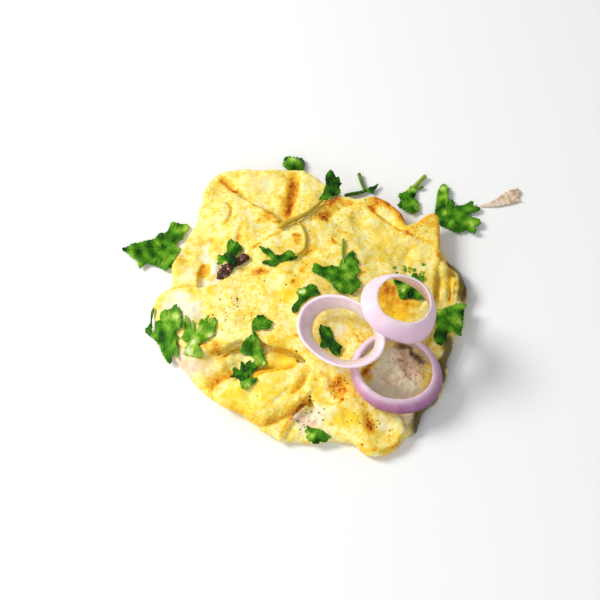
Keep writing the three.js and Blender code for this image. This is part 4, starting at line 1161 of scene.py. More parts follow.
blade(
    "coriander_corner", middle=(-43, 31.4), root=(-38.6, 27), tone=0.26, level=17.5, wave=0.7,
    tips=[(-37, 36), (-42.8, 41), (-49.4, 30), (-49, 26)],
    edge=[
        (-36.4, 35.2), (-37, 37.4), (-38.8, 39.4), (-40.8, 40), (-42.3, 41.7), (-43.8, 41),
        (-44.7, 39.2), (-45, 37), (-44.8, 35), (-46, 33), (-46.8, 31.4), (-49.2, 31.4), (-49.9, 29.2),
        (-49, 27.4), (-49.9, 25.8), (-47.6, 25.2), (-45.2, 26), (-43.4, 25.2), (-41.5, 23.8),
        (-39.4, 24), (-38.4, 25.6), (-39.5, 28), (-39, 30.6), (-38, 33),
    ],
)
blade(
    "coriander_middle", middle=(16, 18), root=(18.3, 28.4), tone=0.42, wave=0.7,
    tips=[(3, 22), (9, 16), (16.5, 8), (23, 8.5), (26.4, 14), (26.4, 22), (25.6, 27), (23.4, 33)],
    edge=[
        (27.4, 14.4), (25.6, 17), (25.3, 19), (27.4, 21), (26.6, 23.6), (25, 25), (26.9, 26.5),
        (26, 28.6), (24.4, 30), (24.9, 32.4), (23.3, 34.1), (21.5, 33), (20.2, 31), (19.2, 28.6),
        (17.6, 28.6), (16.3, 26), (15, 23.6), (12, 24.7), (9, 23.6), (6, 23), (4.3, 24.6), (3, 25.8),
        (2.1, 24), (1.5, 21), (2.8, 18.9), (6.5, 16.7), (9.5, 14.3), (12.5, 10.8), (15.4, 7.6),
        (18.4, 6.9), (20.5, 7.9), (22.6, 6.9), (24, 9), (26.8, 12),
    ],
)
blade(
    "coriander_by_ring", middle=(-2.6, 5.4), root=(2, 4), tone=0.24, wave=0.2,
    tips=[(3.6, 9.4), (0.4, 10.6), (-5.6, 7), (-8.4, -2.6)],
    edge=[
        (5.4, 5.6), (4, 8.4), (3.6, 10.4), (1.6, 11.3), (-0.6, 11), (-2, 9.7), (-3.6, 9.4), (-5.7, 8.4),
        (-6.7, 6.4), (-5.6, 4.2), (-6.7, 1.6), (-8.3, 0), (-9.3, -2), (-8.8, -4), (-6.6, -4.4),
        (-5, -1.5), (-3, 1.2), (0, 3.4), (2.5, 4.5),
    ],
)
blade(
    "coriander_under_ring", middle=(54, 13), root=(57.5, 18), tone=0.42, wave=0.4,
    tips=[(46, 18), (48, 9), (50, 7), (57, 7), (63, 7.4), (61, 20), (57, 22)],
    edge=[
        (64.4, 8), (63.4, 11), (61.4, 13.6), (60.2, 16), (62, 19.3), (61, 21.4), (58.8, 20.8),
        (58, 22.8), (55.6, 22.4), (54.8, 20.3), (52, 19.4), (49, 20.4), (46.2, 20), (45.2, 17.5),
        (45.8, 15), (47.4, 13), (47.5, 9.5), (48.2, 6.6), (51, 6), (54, 6.8), (57, 5.8), (60.4, 6.8),
        (62.6, 5.7),
    ],
)
blade(
    "coriander_in_ring", middle=(10.5, -19.6), root=(7, -12.5), tone=0.14, wave=0.3,
    tips=[(6.4, -22), (14, -27.6), (16, -23.4)],
    edge=[
        (16.8, -23), (13.8, -20.6), (12.4, -18.4), (12, -16), (10.8, -13.4), (9.4, -12.3), (7.5, -12.2),
        (5.6, -11.4), (4.8, -14.3), (5.4, -17), (5.9, -20), (5.3, -22.4), (7, -24), (9.5, -23.7),
        (10.6, -25.6), (12, -27.4), (14, -28.5), (15.9, -27.6), (15.9, -25),
    ],
)
blade(
    "coriander_right", middle=(74.5, -4), root=(67.2, -8), tone=0.42, level=8, wave=0.8,
    tips=[(83.6, 5), (79, 6.4), (70, 2), (67, -16), (80, -12.4), (82, -4)],
    edge=[
        (83.1, 2.5), (84.5, 5.8), (82, 6.4), (79.3, 7), (76.5, 5.2), (73.4, 4), (71, 2.6), (68.8, 1.8),
        (68.1, -1), (67.2, -4), (67.9, -7), (66.6, -10), (65.8, -13.5), (66.2, -17), (69, -18.3),
        (71.7, -17), (72.2, -13.8), (73.2, -11.4), (76, -11.2), (78.5, -12.4), (80.5, -13.3),
        (80.8, -10), (81.8, -7), (82.2, -3.5),
    ],
)
blade(
    "coriander_left_edge", middle=(-75.6, -9), root=(-69, -9), tone=0.44, level=2.5, wave=0.7,
    tips=[(-71, 2.4), (-78.4, -1), (-82, -7), (-79.6, -16), (-74.4, -25), (-69.6, -24)],
    edge=[
        (-67.1, -7.5), (-67.7, -4), (-68.2, -1.2), (-69, 0.5), (-70.2, 0.6), (-70.4, 3), (-71.4, 3.5),
        (-73.5, 2), (-76, 1.2), (-78.8, 0.3), (-79.7, -1.8), (-79.5, -4.6), (-82.2, -5.2), (-82.9, -7.8),
        (-85, -9.6), (-82.6, -12.4), (-80.4, -15), (-79.2, -18), (-77, -22.5), (-75, -25.8),
        (-73.6, -26.5), (-72.2, -24.4), (-71, -23.4), (-70.2, -25.7), (-69.2, -25.4), (-68.9, -22),
        (-69.9, -18.5), (-69, -15.5), (-70.4, -13), (-69, -11), (-67.5, -9.8),
    ],
)
blade(
    "coriander_left_edge", middle=(-85.8, -6.4), root=(-84, -9), tone=0.22, level=2.5, wave=0.2,
    tips=[(-83.6, 2)],
    edge=[
        (-84.2, -4), (-83.4, -1), (-82.8, 2.2), (-84, 2.7), (-85.2, 0), (-86.6, -3.5), (-88.1, -6.3),
        (-86.6, -8.8), (-84, -10.6), (-83, -9), (-84.4, -7),
    ],
)
blade(
    "coriander_pale", middle=(-60.3, -16), root=(-61, -19), tone=0.66, wave=0.6,
    tips=[
        (-49.6, -8.6), (-53.4, -5), (-57, -7), (-61.4, -7.4), (-65.2, -5), (-66.4, -16), (-65, -24.6),
        (-57.4, -26.4),
    ],
    edge=[
        (-48.8, -8.4), (-49.2, -6.6), (-50.6, -5.6), (-52.2, -7.6), (-53.6, -9.2), (-53.4, -6.2),
        (-52.8, -4.2), (-54.2, -4.8), (-55.2, -7.2), (-56.8, -5.8), (-58, -7.4), (-58.4, -10.8),
        (-59.8, -12.6), (-60.7, -10.8), (-61.2, -6.4), (-62.5, -8.2), (-63, -9.4), (-63.9, -6),
        (-64.7, -4.2), (-65.8, -4), (-66, -7), (-66.4, -10.5), (-66.3, -13.5), (-67.2, -16.4),
        (-65, -18.4), (-63.2, -17.6), (-63.8, -19.4), (-65, -22), (-66.2, -25), (-64, -25.2),
        (-61.6, -26.3), (-59.8, -26.6), (-58.4, -27.4), (-56, -26.5), (-56.8, -24), (-58.6, -21),
        (-57, -20.2), (-55, -18.7), (-52.4, -16.8), (-50, -14.2), (-49.4, -11),
    ],
)
blade(
    "coriander_chain", middle=(-26, -10.2), root=(-29.8, -11.4), tone=0.36, wave=0.4,
    tips=[(-20, -9.8), (-24, -6), (-23, -13.4)],
    edge=[
        (-19.2, -9.7), (-21, -8.2), (-22.8, -7.9), (-23.4, -6), (-25.6, -5.1), (-28, -5.9),
        (-29.8, -8.4), (-30.4, -11), (-29.7, -13.4), (-28.4, -14.6), (-26, -13.8), (-23.4, -14.1),
        (-20.8, -13), (-20.2, -11),
    ],
)
blade(
    "coriander_chain", middle=(-28.4, -22.6), root=(-29.4, -16), tone=0.42, wave=0.6,
    tips=[(-35.6, -22.4), (-28, -30.6), (-23.4, -30.8), (-24.2, -24)],
    edge=[
        (-24.6, -22.6), (-26.4, -20), (-27, -17.4), (-28.2, -16.2), (-29.6, -15.3), (-30.6, -17.4),
        (-32.6, -18.7), (-35, -20.5), (-36.6, -22.5), (-35, -24), (-32.4, -24.9), (-30.4, -26.2),
        (-28.9, -28), (-28.9, -30), (-27.5, -31.6), (-25.7, -31), (-24.4, -32.6), (-22.9, -31.6),
        (-22.7, -29.4), (-23.4, -27), (-24.2, -25),
    ],
)
blade(
    "coriander_chain", middle=(-33.4, -35.6), root=(-28, -31.4), tone=0.2, wave=0.6,
    tips=[(-31.6, -29.4), (-35, -29), (-38.6, -32), (-40.4, -36.6), (-36, -40.6)],
    edge=[
        (-27.3, -31.4), (-28.7, -30.2), (-30.4, -29.6), (-31.2, -28.6), (-33, -28.8), (-33.8, -30.3),
        (-34.3, -28.4), (-35.9, -28.3), (-36.2, -30.5), (-37, -33), (-37.8, -31.5), (-39.4, -31.2),
        (-39.9, -33), (-39.8, -35), (-41.2, -36.5), (-40, -38.2), (-38, -38.8), (-36.6, -40.4),
        (-35, -41.8), (-33, -41), (-31, -39.4), (-30, -37), (-28.4, -35.2), (-27.2, -33.4),
    ],
)
blade(
    "coriander_chain", middle=(-32, -42.6), root=(-31, -40), tone=0.5, wave=0.4,
    tips=[(-28, -41), (-31.4, -44.6), (-35, -43)],
    edge=[
        (-27.2, -40.3), (-29.5, -39.8), (-31.5, -39.4), (-34, -40.3), (-35.8, -42.2), (-35.2, -44.6),
        (-33, -45.9), (-31.2, -44.8), (-29.4, -43.6), (-27.8, -42.2),
    ],
)
blade(
    "coriander_front", middle=(2.6, -68.4), root=(10, -69.4), tone=0.42, level=4.5, wave=0.3,
    tips=[(0, -65), (-2, -67.4), (0, -71.4), (4, -72)],
    edge=[
        (10.6, -69.4), (8, -67.6), (6, -65.9), (4.4, -65.3), (2, -64.9), (0.2, -64.4), (-1.7, -63.1),
        (-1.7, -65), (-2.9, -66.9), (-1.6, -67.8), (-1.9, -69.4), (-1.1, -71.2), (0.6, -72.1),
        (3.5, -72.7), (5.5, -71.6), (7.5, -71.8), (9, -70.9),
    ],
)
blade(
    "coriander_sprig", middle=(12.5, 79), root=(7.4, 69.8), tone=0.14, level=14.5, wave=0.6,
    tips=[(18.2, 81.6), (15.8, 86), (12.4, 90), (10, 86), (16.8, 75)],
    edge=[
        (18.9, 82), (17.6, 83.8), (17.2, 86), (15.4, 86.4), (14.4, 88.8), (12.5, 90.8), (10.8, 89.4),
        (9.6, 87), (9.3, 84), (9.5, 80.5), (8.5, 77.6), (7.8, 75), (6.4, 72.6), (5.7, 70.6), (7, 69.2),
        (9.6, 69.4), (12, 71.4), (14.6, 73.5), (17.3, 74.3), (18, 76.4), (17.2, 79.2), (18, 80.6),
    ],
)
blade(
    "coriander_sprig", middle=(-16.8, 28.8), root=(-7, 30.6), tone=0.3, wave=0.3,
    tips=[(-11, 34), (-20, 31), (-26.4, 35.6), (-24.4, 26), (-19, 25)],
    edge=[
        (-6.4, 30), (-7.4, 31.6), (-9, 33.2), (-10.9, 34.8), (-12, 33.6), (-13.6, 31.9), (-15.5, 30.9),
        (-17.5, 30.9), (-19.8, 31.6), (-21.4, 33), (-22.4, 35.6), (-23.4, 34.9), (-25, 36),
        (-27.6, 36.3), (-26, 34.3), (-25.4, 32.6), (-23.5, 31.4), (-21.5, 29.7), (-19.6, 27.9),
        (-20.8, 26.9), (-23, 27.2), (-25.2, 26.8), (-25, 25.5), (-22.5, 25), (-20.5, 23.9), (-18, 24.2),
        (-16.5, 26), (-14, 26.8), (-11, 27.2), (-8.5, 27.9), (-6.8, 28.6),
    ],
)
blade(
    "pale_sliver", middle=(113.6, 81), root=(99, 75.8), tone=0.5, level=0.5, wave=0.4, on_table=True,
    smooth=True,
    tips=[(121, 87.6), (121.8, 79.8), (118, 82)],
    edge=[
        (122.7, 80), (121, 80.7), (121.2, 83), (122.4, 84.2), (122.3, 86.6), (121.2, 88.2), (119, 87.2),
        (117, 86.8), (113, 84.6), (108, 80.7), (103, 77.5), (98.6, 76.1), (98.4, 75.5), (104, 75.5),
        (109, 75.7), (114, 76.9), (118, 77.9), (121.4, 79.2),
    ],
)

print("blades:", sum(len(blades) for blades in BLADES.values()))

# %% Painted highlights and painted shade on the leaves: x, y, radius and how much lighter, or darker where below 0
PAINTED_LIGHT_PATCHES = [
    (-71, 59, 4, 0.42), (-75.5, 53, 2.4, -0.4), (-80, 53, 2, -0.3), (-90, 45, 6, -0.22),
    (-99, 42.5, 2.4, 0.5), (-94, 40, 1.6, 0.4), (-78, 37, 4, 0.25), (-96, 44, 3, -0.3),
    (-76.6, 34.5, 1.6, -0.6), (-104, 45, 2.6, -0.5), (-81, 42, 2, 0.15), (-74.5, 45, 2.5, 0.2),
    (-84, 56, 3, -0.15), (-9, 106.5, 2, 0.5), (-6, 104.5, 2.2, 0.45), (-8.6, 100.8, 2.2, -0.6),
    (-14, 108, 2.4, -0.45), (-2.8, 108, 2.4, -0.45), (-3, 103, 2, -0.2), (33, 86.6, 1.8, 0.6),
    (38, 88, 3, -0.1), (61, 82, 2.2, -0.65), (61, 89, 2.6, 0.5), (58, 86.5, 2.4, 0.2),
    (52.4, 76, 2, -0.45), (60, 76, 3, 0.18), (56, 75, 2, 0.15), (53, 80, 2, -0.25), (77.6, 87, 3, 0.5),
    (75.6, 81, 3, 0.35), (76, 74, 2.4, -0.6), (77.6, 70.5, 2.4, 0.25), (95.5, 63.8, 3, 0.55),
    (83, 58, 3, -0.35), (75.6, 64, 2.2, -0.4), (97.4, 73, 2, -0.2), (93.6, 57, 2, -0.2),
    (86, 75.4, 2.4, -0.3), (83, 66, 5, -0.08), (93, 61.4, 2.4, 0.2), (-48.6, 29, 2.4, 0.5),
    (-42, 38.6, 2.6, 0.25), (-40.6, 29, 3.4, -0.4), (-45, 33.4, 1.8, 0.15), (-41, 25.6, 3, -0.5),
    (8, 20, 4.5, -0.25), (19, 25, 3.4, 0.3), (22, 20.5, 3, 0.28), (22.4, 31, 2.6, -0.35),
    (22, 24, 1.4, -0.45), (25.6, 22.5, 1.6, -0.1), (22.6, 17, 1.2, 0.35), (16, 12, 2.5, 0.12),
    (4, 20, 2.6, -0.15), (-3.6, 7, 1.9, 1), (-5.6, 6.6, 1.2, 0.5), (1.6, 7, 2.6, -0.1),
    (-7.4, -2, 3, -0.12), (0.6, 10, 2, 0.25), (51, 14.5, 2.6, 0.5), (50.4, 11, 1.2, 0.7),
    (54.8, 10, 2.6, -0.5), (48.4, 17, 2.4, -0.5), (55, 16, 2.6, 0.15), (60, 13, 3, -0.2),
    (53, 7, 3, -0.4), (57, 22, 1.8, -0.25), (9.6, -16.4, 1.2, 0.3), (12, -22, 2, 0.1),
    (83, 1, 1.6, -0.6), (78, 5, 2.2, 0.22), (70, -14, 4.2, -0.5), (69, -9, 2.6, -0.35),
    (76, -6.6, 3, 0.18), (69.4, 0.6, 1.6, 0.3), (74, 0.8, 1.6, -0.25), (71, -3, 2.2, -0.1),
    (79.6, -3.6, 2.2, 0.2), (-74.6, -4.4, 4.6, 0.34), (-69.4, -5.4, 3, 0.36), (-80, -8, 3, -0.1),
    (-73, 1.6, 2, -0.1), (-77, -13, 3.4, -0.16), (-74.6, -24.6, 2, -0.35), (-81, -13, 2.2, -0.2),
    (-70, -23, 2.4, 0.25), (-65.2, -8, 3, -0.35), (-64, -14.6, 3, -0.3), (-56, -8, 2.2, -0.45),
    (-54.6, -5.6, 1.6, -0.3), (-51.4, -7.2, 1.6, 0.1), (-57, -18.8, 2.2, -0.35),
    (-61.4, -19.4, 1.6, 0.3), (-62, -23, 3.4, 0.26), (-60.4, -14.6, 1.8, 0.2), (-26, -9.6, 1.8, 0.1),
    (-28, -12.8, 1.8, -0.1), (-26.2, -27.6, 2.8, 0.4), (-23.6, -30.6, 1.4, 0.5),
    (-27.6, -22.4, 1.6, 0.25), (-33.6, -22.6, 2.6, -0.15), (-31.6, -31.6, 2.4, 0.12),
    (-33, -44, 1.8, 0.3), (1.6, -69, 1.6, 0.5), (3, -72, 2.4, -0.45), (-1.4, -67.6, 1.4, 0.4),
    (8.4, -69, 2, -0.2), (7.6, 72, 2.2, 0.3), (9.6, 74.6, 2, 0.15), (13, 84, 3.4, -0.12),
    (-11, 32, 2.2, 0.22), (-24.6, 35.4, 2.2, 0.2), (-19, 26, 2, -0.25), (-9, 28, 2.4, -0.25),
]
print("patches:", len(PAINTED_LIGHT_PATCHES))

# %% A blade as a closed skin with veins
BLADE_RINGS, BLADE_AROUND = 12, 252
BLADE_THICK = 0.42
TOOTH_WIDTH, TOOTH_DEPTH = 2.5, 0.42
PUCKER_LENGTH = 3.2  # from one pucker between the veins to the next


def lie(blade, x, y):
    """The height of the blade's underside before its own waves."""
    if blade["on_table"]:
        return np.full(np.shape(x), REST_GAP + blade["level"])
    return np.maximum(heights.rest(x, y), blade["level"])


def vein_places(blade, x, y):
    """The distance from the nearest main vein, and how far out from the root, in millimetres."""
    root = np.array(blade["root"], float)
    best = np.full(np.shape(x), 1e9)
    along = np.zeros(np.shape(x))
    for tip in blade["tips"]:
        run = np.array(tip) - root
        length = np.hypot(*run)
        share = np.clip(((x - root[0]) * run[0] + (y - root[1]) * run[1]) / length**2, 0, 1)
        off = np.hypot(x - root[0] - share * run[0], y - root[1] - share * run[1])
        closer = off < best
        best, along = np.where(closer, off, best), np.where(closer, share * length, along)
    return best, along


def toothed(edge, middle):
    """The edge with small rounded teeth, which point away from the middle and differ in depth."""
    steps = np.linalg.norm(edge - np.roll(edge, 1, axis=0), axis=1)
    teeth = max(1, round(steps.sum() / TOOTH_WIDTH))
    turn = np.cumsum(steps) / steps.sum() * teeth
    outwards = edge - middle
    outwards /= np.linalg.norm(outwards, axis=1)[:, None]
    rise = np.abs(np.cos(np.pi * turn)) - 0.6 + 0.25 * ripples(edge, 6, seed=23)
    return edge + outwards * (TOOTH_DEPTH * rise)[:, None]

# %% The skin of a blade
def blade_skin(blade):
    """Rings from the middle to the edge, for the upper face and then back for the lower one. The
    height is that of what lies below, plus a wave that grows away from the root, plus a dome that
    falls with the square of the distance, plus a small pucker between the veins."""
    middle = np.array(blade["middle"], float)
    edge = closed_curve(blade["edge"], BLADE_AROUND)
    if not blade["smooth"]:
        edge = toothed(edge, middle)
    shares = (np.linspace(0, 1, BLADE_RINGS + 1) ** 0.8)[:, None]
    flat = middle + shares[..., None] * (edge - middle)
    x, y = flat[..., 0], flat[..., 1]
    root = np.array(blade["root"], float)
    reach = max(np.hypot(*(np.array(tip) - root)) for tip in blade["tips"])
    out = np.hypot(x - root[0], y - root[1]) / reach
    bearing = np.arctan2(y - root[1], x - root[0])
    off, along = vein_places(blade, x, y)
    pucker = 0.28 * np.cos((along - off) * 2 * np.pi / PUCKER_LENGTH) * np.clip(off, 0, 1)
    z = lie(blade, x, y)
    z = z + blade["wave"] * np.clip(out, 0, 1.2) * (0.9 + 0.6 * np.sin(5 * bearing + root[0]))
    z = z + 0.3 * blade["wave"] * (1 + 0.6 * ripples(flat, 5.5, seed=21))
    z = z + blade["dome"] * (1 - shares**2) + pucker
    thin = BLADE_THICK * (0.35 + 0.65 * np.sqrt(1 - shares**6))
    upper = np.stack([x, y, z + thin], axis=-1)
    lower = np.stack([x, y, z], axis=-1)
    grid = np.vstack([upper[1:], lower[:0:-1]])
    vertices, faces = closed_skin(grid, upper[0, 0], lower[0, 0])
    tone = blade["tone"] + 0.1 * ripples(vertices[:, :2], 7, seed=22)
    off, along = vein_places(blade, *vertices[:, :2].T)
    return (vertices, faces), dict(tone=tone, off_vein=off, along_vein=along, stem=0 * off)

# %% [markdown]
# ## Stalks
#
# A stalk is a juicy tube, a little thicker towards the end that was torn off. It is a circle carried
# along a curve: at each step, one direction to the side and one upwards place the circle.

# %% Stalks: route, radius at both ends, colour from green 0 to golden 1, and how far it is lifted
STALKS = {
    "coriander_stalks": [
        ([(20.6, 82.6), (25, 83.8), (30, 84.9), (33.4, 86.3)], (1.1, 1.0), 0.02, 0.5),
        ([(33, 85.8), (31.6, 89.5), (30.4, 94), (29.4, 98.6)], (0.9, 1.1), 0.1, 0.5),
    ],
    "coriander_back_right": [
        ([(60.6, 88), (63.4, 91), (66, 94), (68.4, 96.6)], (1.2, 1.3), 0.32, 0.6),
        ([(62.6, 88), (64.6, 88), (66.6, 89)], (0.9, 0.8), 0.15, 0.6),
    ],
    "coriander_middle": [
        ([(18.5, 25.6), (18.2, 30), (18.2, 36), (18.7, 42.4)], (0.6, 0.7), 0.3, 0.0),
    ],
    "coriander_chain": [
        ([(-30, -11), (-29.8, -14), (-29.3, -17.4), (-28.4, -21)], (0.55, 0.6), 0.25, 0.1),
    ],
    "coriander_sprig": [
        ([(-16.6, 48.6), (-11, 52.3), (-5, 55.6), (1.5, 60.8), (8, 69.6)], (1.7, 0.85), 0.64, 0.0),
        (
            [(-8, 54), (-4.6, 50.4), (-2.4, 45), (-1.9, 39), (-3.6, 33.6), (-7.6, 30.4)],
            (0.6, 0.75), 0.62, 0.0,
        ),
    ],
}
print("stalks:", {node: len(stalks) for node, stalks in STALKS.items()})

# %% A stalk as a tube
STALK_STEPS, STALK_AROUND = 48, 14
NO_VEIN = 50.0  # stands for a vein that is too far away to show, in millimetres


def tube(line, radii):
    """Circles round a line of points, with radii that run evenly from the first to the last, and
    half round ends."""
    steps = len(line)
    run = np.gradient(line, axis=0)
    run /= np.linalg.norm(run, axis=1)[:, None]
    side = np.cross(run, (0, 0, 1.0))
    side /= np.linalg.norm(side, axis=1)[:, None]
    up = np.cross(side, run)
    share = np.linspace(0, 1, steps)
    ends = np.minimum(share, 1 - share) * steps / 3
    radius = np.interp(share, (0, 1), radii) * np.sqrt(1 - (1 - np.clip(ends, 0.12, 1)) ** 2)
    angle = np.linspace(0, 2 * np.pi, STALK_AROUND, endpoint=False)[None, :, None]
    circle = side[:, None] * np.cos(angle) + up[:, None] * np.sin(angle)
    grid = line[:, None] + radius[:, None, None] * circle
    return closed_skin(grid, line[0], line[-1])


def stalk_skin(route, radii, gold, lift, on_table):
    """A tube over the route, lifted by its own radius and `lift` off what lies below it."""
    plan = open_curve(route, STALK_STEPS)
    below = np.full(len(plan), REST_GAP) if on_table else heights.rest(*plan.T, gap=0.3)
    z = below + lift + np.interp(np.linspace(0, 1, len(plan)), (0, 1), radii)
    skin = tube(np.column_stack([plan, z]), radii)
    flat = np.ones(len(skin[0]))
    far = NO_VEIN * flat
    return skin, dict(tone=gold * flat, off_vein=far, along_vein=far, stem=flat)

# %% All blades and stalks of one sprig, laid on what is below them
PATCH_SHARE = 0.75  # how much of a patch's strength is added to the tone


def sprig(node):
    parts = [blade_skin(blade) for blade in BLADES[node]]
    on_table = BLADES[node][0]["on_table"]
    parts += [stalk_skin(*stalk, on_table) for stalk in STALKS.get(node, [])]
    name = node.replace("coriander", "leaf").replace("pale_sliver", "dry_sliver")
    made = make_mesh(name, *merged([skin for skin, _ in parts]))
    at = points_of(made)
    heights.add(at)
    kept = {key: np.concatenate([numbers[key] for _, numbers in parts]) for key in parts[0][1]}
    # Painted highlights and painted shade go into the tone of the blades, not of the stalks.
    kept["tone"] += PATCH_SHARE * spots(PAINTED_LIGHT_PATCHES, *at[:, :2].T) * (1 - kept["stem"])
    for key, values in kept.items():
        put_attribute(made, key, values)
    return made

# %% [markdown]
# ## The scorched scrap of onion
#
# A strip of onion has burnt in the crook of the folds. It is a strip rolled up unevenly, so it is
# made as a ball drawn out along its route, crumpled by ripples of two sizes.

# %% Scorched onion
SCRAP_ROUTE = [(-49.4, 17.6), (-46.4, 21.6), (-42.6, 25.4), (-37.6, 28.2), (-32.4, 30.4)]
SCRAP_STEPS, SCRAP_AROUND = 110, 64


def scrap_skin(width, height):
    """Rings across the route, as in a ball: each is as wide and high as the ball is thick there,
    and flatter below. The sizes swing along the route, and ripples crumple the surface."""
    line = open_curve(SCRAP_ROUTE, SCRAP_STEPS)
    share = np.linspace(-1, 1, SCRAP_STEPS)
    size = np.sqrt(1 - np.abs(share) ** 2.6) * (1 + 0.2 * np.sin(4 * share + 4))
    middle = heights.rest(*line.T, gap=0.4) + 0.75 * height
    grid = rings_across(line, middle, size * width, size * height, SCRAP_AROUND, below=0.7)
    outwards = grid - np.column_stack([line, middle])[:, None]
    outwards /= np.linalg.norm(outwards, axis=2, keepdims=True) + 1e-9
    crumple = 0.42 * ripples(grid, 4.2, seed=31) + 0.22 * ripples(grid, 1.9, seed=32)
    grid += outwards * (crumple * np.minimum(size, 1)[:, None])[..., None]
    return closed_skin(grid[1:-1], (*line[0], middle[0]), (*line[-1], middle[-1]))


def scorch_finish():
    look = Finish("scorched_onion")
    blotch = look.noise(2.6, roughness=0.6)
    grain = look.noise(0.8, detail=2)
    return look.shader(
        Base_Color=look.ramp(
            blotch * 0.8 + grain * 0.5 - 0.15,
            {0.34: "1c0806", 0.5: "3c140c", 0.59: "6e341c", 0.67: "a87862", 0.73: "f0e0d8"},
        ),
        Roughness=blotch.between(0.3, 0.7, 0.25, 0.5),
        Normal=look.bump(grain * 0.4 + blotch, 0.4, 0.8),
        IOR=1.45,
    )


scorched = make_mesh("scorched_scrap", *scrap_skin(width=2.9, height=1.5))
heights.add(points_of(scorched))
dress(scorched, scorch_finish(), "scorched_onion", slot="scorched_onion")

# %% [markdown]
# ## Leaf, stalk and sliver finishes
#
# A coriander leaf runs from nearly black green where it is old to yellow green where it is young.
# The tone kept at each vertex says where, and it also carries painted light: painted shade in folds
# and under curled edges, painted highlights where a leaf bulges towards the light, and yellow green
# painted where light comes through. Noise breaks it up. The main veins are a paler line, and thin
# side veins leave them slanting outwards, one every 2 mm. Its face is a little waxy, and shines
# softly.

# %% Coriander
SIDE_VEINS = 2.1  # from one side vein to the next, in millimetres


def coriander_finish():
    look = Finish("coriander_leaf")
    blotch = look.noise(3.2, detail=3, roughness=0.6)
    grain = look.noise(0.9, detail=2)
    off, along = look.kept("off_vein"), look.kept("along_vein")
    slant = (along - off * 1.1) * (2 * math.pi / SIDE_VEINS)
    side_vein = slant.math("COSINE", slant).between(0.86, 1.0)
    main_vein = off.between(0.08, 0.3, 1, 0)
    veins = main_vein.math("MAXIMUM", main_vein, side_vein * 0.45)
    tone = look.kept("tone") + (blotch - 0.5) * 0.42 + (grain - 0.5) * 0.16 + veins * 0.12
    green = look.ramp(
        tone,
        {0.0: "0d3202", 0.2: "245a06", 0.42: "468612", 0.62: "70a824", 0.82: "a4c848", 1.0: "dcecae"},
    )
    golden = look.kept("tone") + (blotch - 0.5) * 0.35
    stalk = look.ramp(
        golden,
        {0.0: "2f5f1e", 0.3: "86a83a", 0.5: "c4b844", 0.75: "c69c28", 1.0: "b4801e"},
    )
    relief = grain * 0.3 + blotch * 0.3 + side_vein * 0.2 + main_vein * 0.4
    return look.shader(
        Base_Color=look.mix(look.kept("stem"), green, stalk),
        Roughness=blotch.between(0.3, 0.7, 0.4, 0.58),
        Normal=look.bump(relief, 0.2, 0.7),
        IOR=1.42,
        Specular_IOR_Level=0.14,
    )

# %% The dry sliver
def sliver_finish():
    """Threads run along the sliver, and it is darker towards its far end."""
    look = Finish("dry_onion_skin")
    off, along = look.kept("off_vein"), look.kept("along_vein")
    blotch = look.noise(3.0, detail=3)
    thread = off.math("SINE", off * 5.2 + blotch * 3)
    tone = look.kept("tone") + (blotch - 0.5) * 0.5 + thread * 0.1 + 0.12 + (along - 14) * -0.01
    colour = look.ramp(tone, {0.0: "7d6a50", 0.3: "b79c72", 0.55: "e2c6a8", 0.8: "f0dac6"})
    normal = look.bump(thread * 0.4 + blotch, 0.3, 0.7)
    return look.shader(Base_Color=colour, Roughness=0.5, Normal=normal, IOR=1.45)

# %% Lay the leaves and the sliver, each on what is there before it
coriander_look = coriander_finish()
for node in BLADES:
    made = sprig(node)
    if node == "pale_sliver":
        dress(made, sliver_finish(), node, slot="pale_sliver")
    else:
        dress(made, coriander_look, node, slot="coriander")

# %% [markdown]
# ## Onion rings
#
# A ring is one layer of an onion cut across: a low band, bulging between its two cut edges and a
# little narrower at one of them. A rounded section is carried round an oval, and the band leans and
# tilts as it lies. Only the outer face carries purple skin, whose fibres run from cut edge to cut
# edge; both cut faces and the lining are pale. Shade is painted in as well: the purple deepens
# towards the lower right, which is turned from the light, and the foot of the lining goes beige
# grey. Each vertex keeps its place on a plain round band for the material, so the fibres follow
# the band round.

# %% The rings, in millimetres and degrees
# The middle is that of the foot, and `lean` is how far the top is shifted from it. Pairs of radii
# and walls are for foot and top, and tilts are along x and y. `narrow` is depth over width, and
# `spin` turns the oval.
RINGS = {
    "onion_ring_front": dict(
        middle=(45.2, -38.2), lean=(-1.6, -0.1), radii=(23.4, 21.6), walls=(3.8, 3.7), height=10.6,
        narrow=0.89, spin=7, foot_tilt=(10, 7), top_tilt=(10, 7), purple=0.66, seed=41,
    ),
    "onion_ring_left": dict(
        middle=(17.3, -20.9), lean=(-1.9, -1.5), radii=(19.8, 25.8), walls=(2.8, 3), height=7.3,
        narrow=0.72, spin=-43, foot_tilt=(-12, 0), top_tilt=(-12, 0), purple=0.1, seed=42,
    ),
    "onion_ring_right": dict(
        middle=(44.7, -12.2), lean=(2.6, 0.3), radii=(19.8, 14.9), walls=(1.6, 2.2), height=11,
        narrow=0.96, spin=0, foot_tilt=(24, 0), top_tilt=(8, 0), purple=0.16, seed=43,
    ),
}
print("rings:", ", ".join(RINGS))

# %% A ring as a rounded section carried round an oval
RING_AROUND, RING_ACROSS = 300, 44
RING_REACH = 20  # radius of the circle on which the fibres are worked out, in millimetres
BULGE = 1.2  # how far a band stands out halfway up, in millimetres


def mixed(pair, share):
    """The value a share of the way from the first number to the second."""
    return pair[0] + (pair[1] - pair[0]) * share


